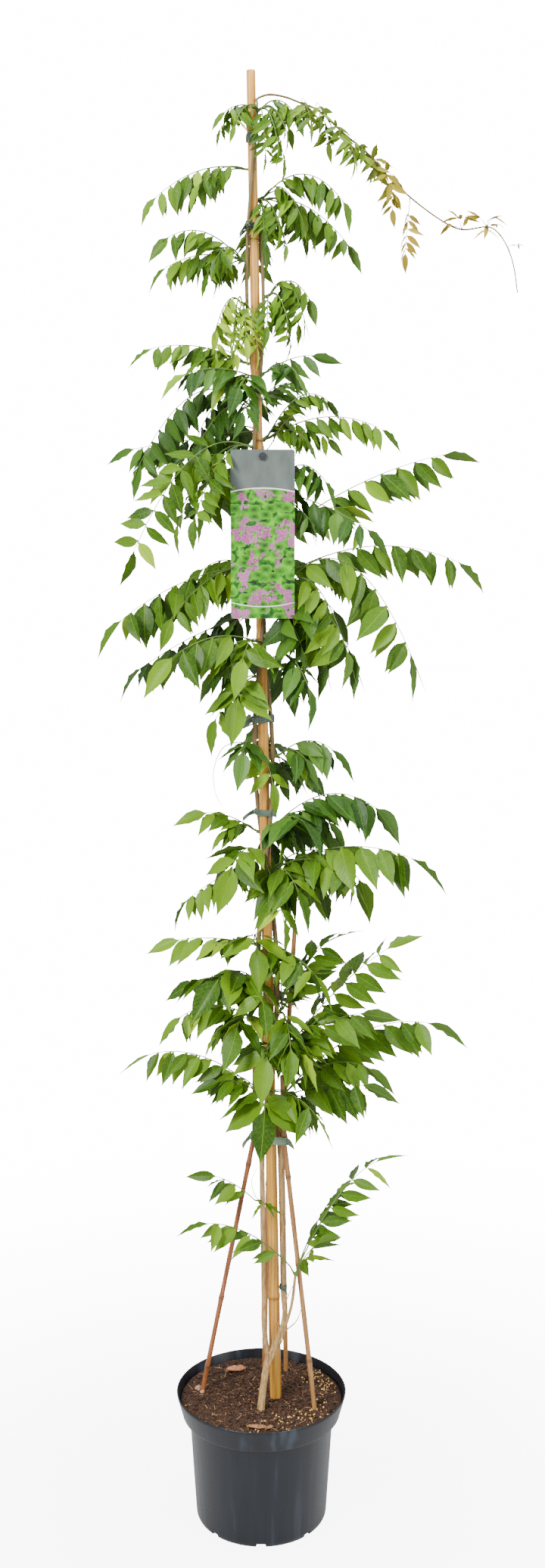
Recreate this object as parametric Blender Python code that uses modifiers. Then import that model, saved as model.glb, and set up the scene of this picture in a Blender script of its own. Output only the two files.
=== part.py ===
"""A young wisteria trained up a tall bamboo cane in a round nursery pot.

Metres, +Z up. The origin is the centre of the pot's underside, and the side of the
plant that carries the hang tag faces -Y.
"""

import math
import random
from collections import namedtuple

import bmesh
import bpy
from mathutils import Vector

# Pot and potting soil
POT_HEIGHT = 0.200
POT_RIM_RADIUS = 0.128
POT_BAND_HEIGHT = 0.035
POT_BAND_FOOT_RADIUS = 0.1195
POT_BODY_TOP_RADIUS = 0.1085
POT_BASE_RADIUS = 0.098
POT_WALL = 0.0020
POT_SIDES = 32
DRAIN_COUNT = 8
DRAIN_WIDTH = 0.014
DRAIN_HEIGHT = 0.007
SOIL_TOP = 0.187
SOIL_CLEARANCE = 0.0006
SOIL_BUMP = 0.0028
SOIL_RINGS = 5

# Clearance left between two pieces that touch
GAP = 0.0003

# Main bamboo cane, leaning a little to the left as it rises
CANE_FOOT_X = 0.0252
CANE_LEAN = -0.0178
CANE_BOTTOM = 0.012
CANE_TOP = 2.100
CANE_FOOT_RADIUS = 0.0090
CANE_TOP_RADIUS = 0.0060
CANE_NODES = (0.347, 0.700, 1.045, 1.335, 1.610, 1.880)
CANE_NODE_BULGE = 0.0010
CANE_BORE_DEPTH = 0.015

# Thin support canes: where each leaves the soil, its place at the big tie, and its top
THIN_CANE_RADIUS = 0.0037
THIN_CANE_DEPTH = 0.035
THIN_CANE_NODES = (0.30, 0.78)
THIN_CANES = {
    "thin_cane_left": ((-0.090, 0.018, SOIL_TOP), (-0.010, 0.004, 0.600), (-0.009, 0.004, 0.735)),
    "thin_cane_right": ((0.080, -0.034, SOIL_TOP), (0.034, -0.017, 0.600), (0.031, -0.019, 0.700)),
    "thin_cane_back_right": ((0.038, 0.080, SOIL_TOP), (0.031, 0.021, 0.600), (0.050, 0.024, 0.915)),
    "thin_cane_back_left": ((0.004, 0.082, SOIL_TOP), (0.012, 0.027, 0.600), (0.012, 0.026, 1.064)),
}

# Vine: a short trunk that forks into two strands, which climb on opposite sides of the cane
TRUNK_FOOT = (-0.002, -0.042, 0.150)
TRUNK_COLLAR = (0.000, -0.039, 0.194)
TRUNK_RADIUS = 0.0056
TRUNK_SWELL = 1.06
FORK_HEIGHT = 0.262
STRAND_SETTLED = 0.352
STRAND_FOOT_RADIUS = 0.0042
STRAND_TOP_RADIUS = 0.0022
STRAND_TURN_HEIGHT = 0.640
STRAND_TWIST_START = 0.560
STRAND_START_ANGLE = 196.0
STRAND_TOP = 2.056
STRAND_STEP = 0.050
STRAND_CLEARANCE = 0.0014
SHOOT = ((0.006, -0.027, 0.238), (0.026, -0.032, 0.290), (0.044, -0.034, 0.345), (0.051, -0.036, 0.400))
SHOOT_RADIUS = 0.0024

# Ties: the thickness of every band, then the height, width and material of each
TIE_THICKNESS = 0.0012
TIE_CLEARANCE = 0.0010
TIES = {
    "tie_top": (2.014, 0.009, "tie_tape"),
    "tie_upper": (1.897, 0.009, "tie_tape"),
    "tie_shoulder": (1.681, 0.012, "tie_black"),
    "tie_waist": (1.222, 0.010, "tie_tape"),
    "tie_low_waist": (1.087, 0.009, "tie_tape"),
    "tie_clip": (0.960, 0.018, "tie_teal"),
    "tie_gather": (0.600, 0.012, "tie_tape"),
    "tie_low": (0.362, 0.007, "tie_tape"),
}

# Hang tag and the peg that it hangs on
TAG_WIDTH = 0.088
TAG_HEIGHT = 0.230
TAG_THICKNESS = 0.0009
TAG_TOP = 1.597
TAG_CENTRE_X = 0.0035
TAG_Y = -0.0460
TAG_CORNER = 0.003
TAG_HOLE_RADIUS = 0.0032
TAG_HOLE_DROP = 0.009
TAG_PEG_RADIUS = 0.0026
TAG_PEG_HEAD = 0.0055
TAG_PEG_HEAD_LENGTH = 0.003

# Leaves
BLADE = 0.0008
RACHIS_HALF_WIDTH = 0.0013
LEAFLET_FOOT = 0.0024
LEAFLET_SHOULDER = 0.42
END_TWIST = 42.0
SPUR_RADIUS = 0.0042
CURVE_STEPS = 24
SEED = 41

# A frond: the way it points (degrees, 0 to the right, 270 to the front), how far its tip
# reaches, its rise half way and at the tip (centimetres), pairs of leaflets, leaflet
# length (centimetres), how far the leaflets hang, and the roll of the whole frond (degrees).
Frond = namedtuple("Frond", "toward reach mid tip pairs leaflet hang roll", defaults=(0,))

# A spray: its height on the vine (centimetres) and tone, then its fronds.
SPRAYS = {
    "spray_crown": (204.6, "fresh", (
        Frond(212, 6.5, 0.2, -2.6, 2, 3.6, 55),
        Frond(306, 7.0, -1.4, -8.0, 2, 4.0, 45),
        Frond(350, 7.5, 1.0, -3.2, 2, 3.8, 60))),
    "spray_left_high": (197.4, "fresh", (
        Frond(180, 16.0, -0.6, -6.6, 3, 4.8, 66),)),
    "spray_right_high": (193.4, "fresh", (
        Frond(345, 14.8, 2.8, -4.4, 3, 5.0, 62),
        Frond(14, 16.0, -1.2, -8.8, 3, 5.0, 58),
        Frond(310, 6.5, -1.6, -7.0, 2, 3.8, 50))),
    "spray_left_second": (185.2, "fresh", (
        Frond(190, 14.8, 3.8, 0.2, 3, 4.8, 68),
        Frond(166, 16.0, 0.8, -2.6, 3, 4.8, 60))),
    "spray_right_third": (180.4, "fresh", (
        Frond(5, 9.0, 2.0, -3.4, 3, 4.4, 66),
        Frond(312, 7.5, -0.6, -6.6, 2, 4.2, 55))),
    "spray_lime": (179.4, "lime", (
        Frond(210, 7.0, 0.0, -6.5, 3, 4.6, 62),
        Frond(262, 7.5, -1.8, -8.0, 2, 4.8, 50))),
    "spray_left_third": (171.6, "fresh", (
        Frond(184, 18.0, 2.4, 0.6, 4, 4.8, 60),
        Frond(152, 12.0, 2.4, 1.0, 1, 5.2, 50))),
    "spray_shoulder_left": (169.3, "green", (
        Frond(203, 14.5, 1.2, -1.6, 3, 5.4, 50),
        Frond(248, 9.5, -0.4, -5.0, 2, 5.6, 35))),
    "spray_shoulder_right": (170.0, "green", (
        Frond(353, 11.6, 2.4, 1.4, 3, 5.0, 50),
        Frond(313, 10.5, 1.0, -3.4, 3, 5.2, 42))),
    "spray_dark_arch": (165.6, "dark", (
        Frond(176, 18.5, 1.4, -12.0, 4, 5.8, 64),)),
    "spray_spindly": (161.2, "fresh", (
        Frond(0, 20.5, 3.2, -0.6, 3, 4.6, 74),
        Frond(28, 13.4, 6.4, 3.6, 2, 3.8, 60))),
    "spray_dark_left": (162.6, "dark", (
        Frond(160, 23.4, -1.4, -3.0, 4, 5.4, 60),
        Frond(126, 12.0, 0.4, -3.0, 1, 6.2, 45))),
    "spray_open_left": (160.2, "fresh", (
        Frond(206, 20.6, -2.6, -18.6, 4, 5.8, 20, 55),)),
    "spray_bright_left": (156.6, "fresh", (
        Frond(191, 15.6, 2.4, -3.4, 3, 6.6, 66),
        Frond(150, 11.0, -2.0, -9.0, 1, 6.2, 45))),
    "spray_near_right": (154.2, "green", (
        Frond(328, 13.2, 3.4, -2.6, 2, 5.6, 62),
        Frond(340, 19.8, -2.6, -8.0, 3, 5.8, 64))),
    "spray_long_right": (147.8, "fresh", (
        Frond(17, 32.8, 8.6, 12.4, 4, 6.6, 70),
        Frond(52, 12.0, 4.0, 0.4, 1, 6.2, 50))),
    "spray_long_left": (143.6, "fresh", (
        Frond(185, 24.0, -3.0, -11.2, 4, 7.2, 56),
        Frond(152, 13.0, 0.6, -4.0, 2, 6.4, 45))),
    "spray_far_right": (141.6, "fresh", (
        Frond(8, 33.2, 5.0, 0.2, 4, 6.4, 68),
        Frond(52, 12.0, 3.0, -1.0, 1, 6.4, 45))),
    "spray_arch_right": (138.2, "fresh", (
        Frond(345, 23.8, 6.0, -12.0, 4, 7.4, 60),
        Frond(22, 14.4, 1.6, -5.0, 2, 6.6, 52))),
    "spray_low_left": (137.2, "dark", (
        Frond(166, 22.4, -4.4, -11.4, 3, 6.6, 50),
        Frond(132, 12.0, -0.6, -4.0, 1, 6.6, 40))),
    "spray_dark_right": (134.0, "dark", (
        Frond(340, 15.4, 4.6, -7.6, 3, 7.8, 56),
        Frond(20, 11.0, 0.4, -5.4, 1, 6.2, 50))),
    "spray_palm_left": (133.2, "fresh", (
        Frond(207, 18.6, 0.4, -6.0, 4, 7.6, 62),
        Frond(246, 9.0, -0.4, -7.0, 2, 6.8, 30))),
    "spray_hang_right": (130.2, "green", (
        Frond(312, 12.0, 0.6, -7.6, 3, 6.8, 45),
        Frond(62, 11.0, -1.6, -8.0, 1, 6.6, 45))),
    "spray_palm_front": (128.4, "fresh", (
        Frond(240, 9.4, -1.4, -8.4, 3, 7.6, 20),
        Frond(190, 9.0, -3.6, -10.6, 2, 6.2, 35))),
    "spray_waist_right": (116.8, "green", (
        Frond(354, 13.2, 2.2, -2.8, 3, 6.4, 58),
        Frond(50, 14.0, -3.0, -6.0, 2, 6.4, 32))),
    "spray_waist_front": (118.4, "green", (
        Frond(242, 7.5, 0.4, -5.0, 2, 6.4, 28),
        Frond(292, 6.0, -1.4, -9.2, 2, 5.8, 40))),
    "spray_fan_right": (107.0, "green", (
        Frond(358, 20.0, 4.6, -1.6, 3, 7.0, 60),
        Frond(305, 14.0, 2.0, -1.8, 3, 7.2, 36))),
    "spray_waist_left": (105.6, "fresh", (
        Frond(178, 13.0, 2.8, 1.4, 3, 5.8, 42),)),
    "spray_palm_big": (102.6, "fresh", (
        Frond(230, 10.6, 1.0, -6.6, 3, 8.0, 18),
        Frond(168, 15.2, -4.2, -10.4, 3, 5.8, 45))),
    "spray_low_arch": (100.2, "fresh", (
        Frond(344, 27.2, 4.4, 0.0, 4, 8.0, 56),
        Frond(20, 18.0, 2.2, -7.6, 2, 7.6, 56),
        Frond(300, 12.5, 0.6, -6.0, 2, 7.6, 28))),
    "spray_slim_left": (89.4, "fresh", (
        Frond(178, 17.6, 0.8, -0.9, 3, 6.0, 32),
        Frond(262, 9.0, 2.0, -4.4, 2, 7.2, 24))),
    "spray_broad_left": (84.2, "fresh", (
        Frond(216, 13.0, 1.4, -4.0, 3, 8.2, 30),
        Frond(160, 16.6, -0.8, -4.2, 2, 6.6, 34))),
    "spray_rise_right": (79.2, "fresh", (
        Frond(344, 13.4, 10.0, 12.3, 3, 6.4, 30, -50),
        Frond(84, 16.0, 3.4, 3.4, 2, 6.6, 34))),
    "spray_round_left": (77.4, "fresh", (
        Frond(186, 16.6, 2.6, -2.0, 3, 6.0, 60),
        Frond(240, 12.0, 2.0, -3.6, 2, 7.8, 26))),
    "spray_star_front": (74.6, "fresh", (
        Frond(262, 9.0, 0.4, -6.4, 3, 8.0, 18),
        Frond(302, 13.0, 0.8, -3.6, 3, 7.4, 44))),
    "spray_tall_right": (71.8, "fresh", (
        Frond(4, 22.2, 12.4, 18.8, 4, 6.6, 30, -35),
        Frond(350, 19.0, 7.0, 7.0, 3, 6.8, 56))),
    "spray_low_reach": (66.8, "fresh", (
        Frond(182, 22.2, 6.4, 4.0, 4, 6.2, 64),)),
    "spray_star_low": (67.6, "fresh", (
        Frond(262, 8.8, -0.4, -8.0, 2, 8.8, 16),
        Frond(322, 12.2, -0.6, -6.0, 2, 6.6, 48))),
    "spray_reach_right": (65.2, "fresh", (
        Frond(3, 29.2, 11.0, 9.6, 4, 7.6, 60),
        Frond(342, 19.6, 3.6, 3.2, 2, 6.8, 58))),
}

# Short leaves that close in towards the cane, added to the sprays above from the same buds
INNER_LEAVES = {
    "spray_palm_big": Frond(285, 14.0, -4.5, -10.8, 2, 6.2, 42),
    "spray_broad_left": Frond(270, 11.0, -0.5, -5.0, 1, 6.2, 42),
    "spray_shoulder_right": Frond(255, 11.0, -3.5, -8.5, 1, 5.0, 42),
    "spray_rise_right": Frond(285, 14.0, -0.6, -6.4, 2, 6.2, 42),
    "spray_hang_right": Frond(150, 11.0, -0.5, -5.0, 1, 6.2, 42),
    "spray_fan_right": Frond(30, 14.0, -0.6, -6.4, 2, 6.2, 42),
    "spray_waist_right": Frond(105, 14.0, 3.6, 3.8, 2, 6.2, 42),
    "spray_slim_left": Frond(315, 14.0, -0.6, -6.4, 2, 6.2, 42),
    "spray_waist_left": Frond(60, 11.0, -3.5, -8.5, 1, 6.2, 42),
    "spray_right_high": Frond(90, 14.0, -4.5, -10.8, 2, 5.0, 42),
    "spray_dark_arch": Frond(60, 14.0, 3.6, 3.8, 2, 5.0, 42),
}

# Low sprays: one on the left strand near the soil, one at the tip of the side shoot
LOW_SPRAYS = {
    "spray_skirt_left": (50.0, "fresh", (
        Frond(183, 12.6, 3.8, 4.2, 3, 5.2, 56),
        Frond(272, 5.6, 0.8, -0.8, 1, 4.2, 25))),
    "spray_skirt_right": (40.6, "fresh", (
        Frond(194, 16.0, 7.2, 7.4, 3, 5.6, 54),
        Frond(6, 18.2, 13.4, 16.3, 4, 5.8, 34, -30),
        Frond(326, 10.0, 5.4, 7.0, 2, 5.2, 42),
        Frond(30, 14.0, 9.2, 10.6, 2, 5.2, 50))),
}

# Young runner that leaves the top of the vine and arches away to the right
RUNNER_PATH = (
    (0.012, -0.011, 2.066), (0.033, -0.012, 2.063), (0.055, -0.012, 2.055),
    (0.080, -0.010, 2.045), (0.113, -0.008, 2.017), (0.146, -0.006, 1.991), (0.170, -0.005, 1.966),
    (0.204, -0.004, 1.935), (0.245, -0.003, 1.906), (0.275, -0.002, 1.893), (0.309, -0.001, 1.897),
    (0.325, 0.000, 1.889), (0.338, 0.000, 1.870), (0.347, 0.000, 1.845), (0.353, 0.000, 1.810))
RUNNER_RADIUS = 0.0013
RUNNER_LEAVES = (
    (2, Frond(296, 4.0, -1.2, -5.6, 2, 3.3, 40)),
    (3, Frond(60, 3.6, -1.6, -6.0, 1, 3.3, 40)),
    (4, Frond(300, 3.6, -1.8, -6.2, 2, 3.2, 40)),
    (6, Frond(62, 3.2, -2.0, -6.6, 2, 3.0, 40)),
    (7, Frond(240, 1.8, -4.4, -10.0, 3, 3.0, 36)),
    (9, Frond(236, 3.2, 1.6, 1.4, 1, 2.8, 20)),
    (10, Frond(300, 3.0, 1.0, 0.4, 1, 2.6, 20)),
)

# Colour, roughness of each material
FINISHES = {
    "pot_plastic": ((0.020, 0.024, 0.030), 0.35),
    "soil": ((0.055, 0.028, 0.016), 0.95),
    "bamboo": ((0.680, 0.440, 0.180), 0.45),
    "thin_bamboo": ((0.520, 0.250, 0.110), 0.50),
    "bark": ((0.470, 0.330, 0.180), 0.80),
    "tie_tape": ((0.110, 0.160, 0.120), 0.45),
    "tie_black": ((0.015, 0.016, 0.018), 0.40),
    "tie_teal": ((0.020, 0.300, 0.230), 0.40),
    "tag_card": ((0.330, 0.420, 0.240), 0.35),
    "leaf_fresh": ((0.085, 0.260, 0.040), 0.45),
    "leaf_green": ((0.050, 0.180, 0.035), 0.45),
    "leaf_dark": ((0.025, 0.105, 0.030), 0.50),
    "leaf_lime": ((0.330, 0.520, 0.080), 0.45),
    "leaf_bronze": ((0.430, 0.320, 0.080), 0.50),
}


def clear_scene():
    for old in list(bpy.data.objects):
        bpy.data.objects.remove(old, do_unlink=True)


def collection(name):
    group = bpy.data.collections.new(name)
    bpy.context.scene.collection.children.link(group)
    return group


def make_materials():
    made = {}
    for name, (colour, roughness) in FINISHES.items():
        material = bpy.data.materials.new(name)
        material.use_nodes = True
        shader = material.node_tree.nodes["Principled BSDF"]
        shader.inputs["Base Color"].default_value = (*colour, 1.0)
        shader.inputs["Roughness"].default_value = roughness
        shader.inputs["Metallic"].default_value = 0.0
        material.diffuse_color = (*colour, 1.0)
        made[name] = material
    return made


def object_from(bm, name, group):
    """Put a bmesh into a new object and free it."""
    mesh = bpy.data.meshes.new(name)
    bm.to_mesh(mesh)
    bm.free()
    made = bpy.data.objects.new(name, mesh)
    group.objects.link(made)
    return made


def as_mesh(source, group, weld=True):
    """Turn a curve, or an object with modifiers, into a mesh object, its loose caps welded."""
    graph = bpy.context.evaluated_depsgraph_get()
    graph.update()
    mesh = bpy.data.meshes.new_from_object(source.evaluated_get(graph))
    if weld:
        bm = bmesh.new()
        bm.from_mesh(mesh)
        bmesh.ops.remove_doubles(bm, verts=bm.verts[:], dist=0.00001)
        bm.to_mesh(mesh)
        bm.free()
    name = source.name
    place = source.matrix_world.copy()
    bpy.data.objects.remove(source, do_unlink=True)
    mesh.name = name
    made = bpy.data.objects.new(name, mesh)
    made.matrix_world = place
    group.objects.link(made)
    return made


def boolean(target, cutters, operation, group, solver="EXACT"):
    """Join or cut target with a list of objects, apply it and drop the list."""
    tools = collection(target.name + "_tools")
    for cutter in cutters:
        for owner in list(cutter.users_collection):
            owner.objects.unlink(cutter)
        tools.objects.link(cutter)
    modifier = target.modifiers.new("fuse", "BOOLEAN")
    modifier.operation = operation
    modifier.operand_type = "COLLECTION"
    modifier.collection = tools
    modifier.solver = solver
    made = as_mesh(target, group, weld=False)
    for cutter in list(tools.objects):
        bpy.data.objects.remove(cutter, do_unlink=True)
    bpy.data.collections.remove(tools)
    return made


def mend(made):
    """Weld a union's slivers, split its faces into triangles, and close any pinched edge."""
    bm = bmesh.new()
    bm.from_mesh(made.data)
    bmesh.ops.remove_doubles(bm, verts=bm.verts[:], dist=0.0001)
    bmesh.ops.triangulate(bm, faces=bm.faces[:])
    pinched = [edge for edge in bm.edges if not edge.is_manifold]
    while pinched:
        bmesh.ops.collapse(bm, edges=pinched)
        bmesh.ops.dissolve_degenerate(bm, dist=0.000001, edges=bm.edges[:])
        bmesh.ops.triangulate(bm, faces=bm.faces[:])
        pinched = [edge for edge in bm.edges if not edge.is_manifold]
    bm.to_mesh(made.data)
    bm.free()
    return made


def turned(name, profile, sides, group):
    """A closed turned solid from (radius, height) points that start and end on the axis."""
    bm = bmesh.new()
    corners = [bm.verts.new((radius, 0.0, height)) for radius, height in profile]
    for first, second in zip(corners, corners[1:]):
        bm.edges.new((first, second))
    made = object_from(bm, name, group)
    screw = made.modifiers.new("turn", "SCREW")
    screw.axis = "Z"
    screw.steps = sides
    screw.render_steps = sides
    screw.use_merge_vertices = True
    screw.merge_threshold = 0.00005
    return as_mesh(made, group)


def tube(name, points, radii, sides_level, group):
    """A round stem through points, with its own radius at each of them."""
    data = bpy.data.curves.new(name, "CURVE")
    data.dimensions = "3D"
    data.bevel_depth = 1.0
    data.bevel_resolution = sides_level
    data.use_fill_caps = True
    spline = data.splines.new("POLY")
    spline.points.add(len(points) - 1)
    for knot, point, radius in zip(spline.points, points, radii):
        knot.co = (*point, 1.0)
        knot.radius = radius
    made = bpy.data.objects.new(name, data)
    group.objects.link(made)
    return as_mesh(made, group)


def cylinder_between(name, low, high, radius, sides, group):
    """A plain closed cylinder from one point to another."""
    axis = Vector(high) - Vector(low)
    bm = bmesh.new()
    bmesh.ops.create_cone(bm, cap_ends=True, cap_tris=False, segments=sides,
                          radius1=radius, radius2=radius, depth=axis.length)
    turn = Vector((0, 0, 1)).rotation_difference(axis).to_matrix()
    bmesh.ops.rotate(bm, verts=bm.verts[:], matrix=turn)
    bmesh.ops.translate(bm, verts=bm.verts[:], vec=(Vector(low) + Vector(high)) / 2)
    return object_from(bm, name, group)


def smooth_path(knots, steps):
    """Points on a smooth curve through the knots, with steps between each two."""
    knots = [Vector(knot) for knot in knots]
    ends = [2 * knots[0] - knots[1], *knots, 2 * knots[-1] - knots[-2]]
    path = []
    for before, first, second, after in zip(ends, ends[1:], ends[2:], ends[3:]):
        for step in range(steps):
            t = step / steps
            path.append(0.5 * (2 * first + (second - before) * t
                               + (2 * before - 5 * first + 4 * second - after) * t ** 2
                               + (3 * first - before - 3 * second + after) * t ** 3))
    path.append(knots[-1])
    return path


def heading(degrees):
    angle = math.radians(degrees)
    return Vector((math.cos(angle), math.sin(angle), 0.0))


# Pot and soil

def pot_inner_radius(height):
    """Inside radius of the pot below its rim band."""
    share = height / (POT_HEIGHT - POT_BAND_HEIGHT)
    return POT_BASE_RADIUS * (1 - share) + POT_BODY_TOP_RADIUS * share - POT_WALL


def band_inner_radius(height):
    """Inside radius of the pot's flared rim band."""
    share = (height - POT_HEIGHT + POT_BAND_HEIGHT) / POT_BAND_HEIGHT
    return POT_BAND_FOOT_RADIUS * (1 - share) + POT_RIM_RADIUS * share - POT_WALL


def make_pot(group):
    shoulder = POT_HEIGHT - POT_BAND_HEIGHT
    profile = (
        (0.0, POT_WALL),
        (POT_BASE_RADIUS - POT_WALL - 0.002, POT_WALL),
        (pot_inner_radius(0.006), 0.006),
        (pot_inner_radius(shoulder), shoulder),
        (POT_BAND_FOOT_RADIUS - POT_WALL, shoulder + 0.003),
        (POT_RIM_RADIUS - POT_WALL - 0.0004, POT_HEIGHT - 0.001),
        (POT_RIM_RADIUS - POT_WALL * 0.5, POT_HEIGHT),
        (POT_RIM_RADIUS, POT_HEIGHT - 0.0012),
        (POT_RIM_RADIUS - 0.0008, POT_HEIGHT - 0.004),
        (POT_BAND_FOOT_RADIUS, shoulder + 0.0008),
        (POT_BAND_FOOT_RADIUS - 0.0006, shoulder - 0.0006),
        (POT_BODY_TOP_RADIUS, shoulder - 0.0022),
        (POT_BASE_RADIUS + 0.0014, 0.010),
        (POT_BASE_RADIUS - 0.0004, 0.0026),
        (POT_BASE_RADIUS - 0.003, 0.0),
        (0.0, 0.0),
    )
    pot = turned("pot", profile, POT_SIDES, group)
    cutters = []
    for number in range(DRAIN_COUNT):
        bm = bmesh.new()
        bmesh.ops.create_cube(bm, size=1.0)
        bmesh.ops.scale(bm, verts=bm.verts[:], vec=(0.022, DRAIN_WIDTH, DRAIN_HEIGHT * 2))
        slot = object_from(bm, "drain_slot", group)
        way = heading(270 + number * 360 / DRAIN_COUNT)
        slot.location = way * (POT_BASE_RADIUS - 0.004)
        slot.rotation_euler.z = math.atan2(way.y, way.x)
        cutters.append(slot)
    return boolean(pot, cutters, "DIFFERENCE", group)


def soil_bump(x, y):
    """Height of the crumbly surface above or below its mean level."""
    ripple = math.sin(61 * x + 2.0) * math.cos(53 * y - 1.0)
    crumbs = math.sin(173 * x - 90 * y) * 0.6 + math.cos(131 * y + 77 * x) * 0.5
    return SOIL_BUMP * (0.6 * ripple + 0.45 * crumbs)


def make_soil(group):
    """The root ball: a solid that fills the pot, with a rough top and a hole for each stem."""
    low = POT_WALL + GAP
    shoulder = POT_HEIGHT - POT_BAND_HEIGHT
    top_radius = band_inner_radius(SOIL_TOP) - 2 * SOIL_CLEARANCE
    profile = [(top_radius * step / SOIL_RINGS, SOIL_TOP) for step in range(SOIL_RINGS + 1)]
    profile += [
        (band_inner_radius(shoulder + 0.005) - 2 * SOIL_CLEARANCE, shoulder + 0.005),
        (pot_inner_radius(shoulder) - SOIL_CLEARANCE, shoulder + SOIL_CLEARANCE),
        (pot_inner_radius(0.008) - SOIL_CLEARANCE, 0.008),
        (POT_BASE_RADIUS - POT_WALL - 0.004, low),
        (0.0, low),
    ]
    soil = turned("soil", profile, POT_SIDES, group)
    for vertex in soil.data.vertices:
        reach = math.hypot(vertex.co.x, vertex.co.y)
        if vertex.co.z > SOIL_TOP - 0.001 and reach < top_radius * 0.99:
            vertex.co.z += soil_bump(vertex.co.x, vertex.co.y)
    spare = GAP + 0.0002
    cutters = [cane_tool("cane_hole", CANE_BOTTOM - GAP, SOIL_TOP + 0.03, spare, group)]
    for name, (surface, tie, _) in THIN_CANES.items():
        low = thin_cane_foot(name)
        low += (low - Vector(tie)).normalized() * GAP
        high = Vector(surface).lerp(Vector(tie), 0.1)
        cutters.append(cylinder_between("stem_hole", low, high, THIN_CANE_RADIUS + spare, 10, group))
    low, high = Vector(TRUNK_FOOT), Vector(TRUNK_COLLAR)
    reach = (high - low) * 0.5
    cutters.append(cylinder_between("trunk_hole", low - reach.normalized() * GAP, high + reach,
                                    TRUNK_RADIUS * TRUNK_SWELL + spare * 2, 14, group))
    return boolean(soil, cutters, "DIFFERENCE", group)


# Canes

def cane_axis(height):
    return Vector((CANE_FOOT_X + CANE_LEAN * height, 0.0, height))


def cane_radius(height):
    share = height / CANE_TOP
    return CANE_FOOT_RADIUS * (1 - share) + CANE_TOP_RADIUS * share


def lean_over(made):
    """Lay an upright turned piece along the cane's leaning axis."""
    for vertex in made.data.vertices:
        vertex.co += cane_axis(vertex.co.z) - Vector((0, 0, vertex.co.z))


def cane_tool(name, low, high, spare, group):
    made = turned(name, ((0.0, high), (cane_radius(high) + spare, high),
                         (cane_radius(low) + spare, low), (0.0, low)), 16, group)
    lean_over(made)
    return made


def make_main_cane(group):
    """A bamboo culm with raised node rings and its cut bore at the top."""
    bore = CANE_TOP_RADIUS * 0.45
    profile = [(0.0, CANE_TOP - CANE_BORE_DEPTH), (bore, CANE_TOP - CANE_BORE_DEPTH),
               (bore, CANE_TOP), (CANE_TOP_RADIUS, CANE_TOP)]
    for height in reversed(CANE_NODES):
        radius = cane_radius(height)
        profile += [(radius, height + 0.007), (radius + CANE_NODE_BULGE, height + 0.002),
                    (radius - 0.0003, height - 0.001), (radius, height - 0.006)]
    profile += [(cane_radius(CANE_BOTTOM), CANE_BOTTOM), (0.0, CANE_BOTTOM)]
    cane = turned("main_cane", profile, 12, group)
    lean_over(cane)
    return cane


def thin_cane_foot(name):
    """The buried end of a thin cane, straight on below the soil."""
    surface, tie, _ = (Vector(point) for point in THIN_CANES[name])
    return surface + (surface - tie).normalized() * THIN_CANE_DEPTH


def make_thin_cane(name, group):
    """A pencil-thin cane: straight to the tie that bends it in, with two faint nodes."""
    surface, tie, top = (Vector(point) for point in THIN_CANES[name])
    points = [thin_cane_foot(name)]
    radii = [THIN_CANE_RADIUS]
    for share in THIN_CANE_NODES:
        for offset, swell in ((-0.012, 1.0), (0.0, 1.16), (0.010, 0.98)):
            points.append(surface.lerp(tie, share + offset))
            radii.append(THIN_CANE_RADIUS * swell)
    points += [tie, top]
    radii += [THIN_CANE_RADIUS * 0.97, THIN_CANE_RADIUS * 0.88]
    return tube(name, points, radii, 1, group)


# Vine

def strand_angle(strand, height):
    """Direction of a climbing strand from the cane's axis, in degrees."""
    turn = max(0.0, height - STRAND_TWIST_START) / STRAND_TURN_HEIGHT * 360
    return STRAND_START_ANGLE + strand * 180 + turn


def strand_radius(height):
    share = (height - FORK_HEIGHT) / (STRAND_TOP - FORK_HEIGHT)
    return STRAND_FOOT_RADIUS * (1 - share) + STRAND_TOP_RADIUS * share


def strand_centre(strand, height):
    out = cane_radius(height) + CANE_NODE_BULGE + strand_radius(height) + STRAND_CLEARANCE
    return cane_axis(height) + heading(strand_angle(strand, height)) * out


def strand_knots(strand):
    """Points along a strand, from inside the top of the trunk to its end."""
    fork = cane_axis(FORK_HEIGHT) + Vector((-0.0100, -0.0205, 0.0))
    if strand == 0:
        start = [fork, cane_axis(0.300) + Vector((-0.0150, -0.0120, 0.0))]
    else:
        start = [fork - Vector((0, 0, 0.004)), cane_axis(0.292) + Vector((0.0060, -0.0200, 0.0)),
                 cane_axis(0.322) + Vector((0.0160, -0.0100, 0.0))]
    climb = STRAND_TOP - STRAND_SETTLED
    count = round(climb / STRAND_STEP)
    return start + [strand_centre(strand, STRAND_SETTLED + climb * step / count)
                    for step in range(count + 1)]


def make_vine(group):
    """The woody trunk, its two climbing strands and the side shoot, grown as one."""
    collar = Vector(TRUNK_COLLAR)
    fork = strand_knots(0)[0]
    trunk_path = [Vector(TRUNK_FOOT), collar, collar.lerp(fork, 0.5), fork,
                  fork + Vector((0.0, 0.0004, 0.008))]
    swell = (1.0, TRUNK_SWELL, 0.92, 0.95, 0.6)
    trunk = tube("vine", trunk_path, [TRUNK_RADIUS * share for share in swell], 2, group)
    branches = []
    for strand in (0, 1):
        knots = strand_knots(strand)
        radii = [strand_radius(max(knot.z, FORK_HEIGHT)) for knot in knots]
        branches.append(tube("strand", knots, radii, 1, group))
    shoot = smooth_path(SHOOT, 2)
    slim = [SHOOT_RADIUS * (1.1 - 0.25 * step / len(shoot)) for step in range(len(shoot))]
    branches.append(tube("shoot", shoot, slim, 1, group))
    return boolean(trunk, branches, "UNION", group)


# Ties and tag

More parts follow.
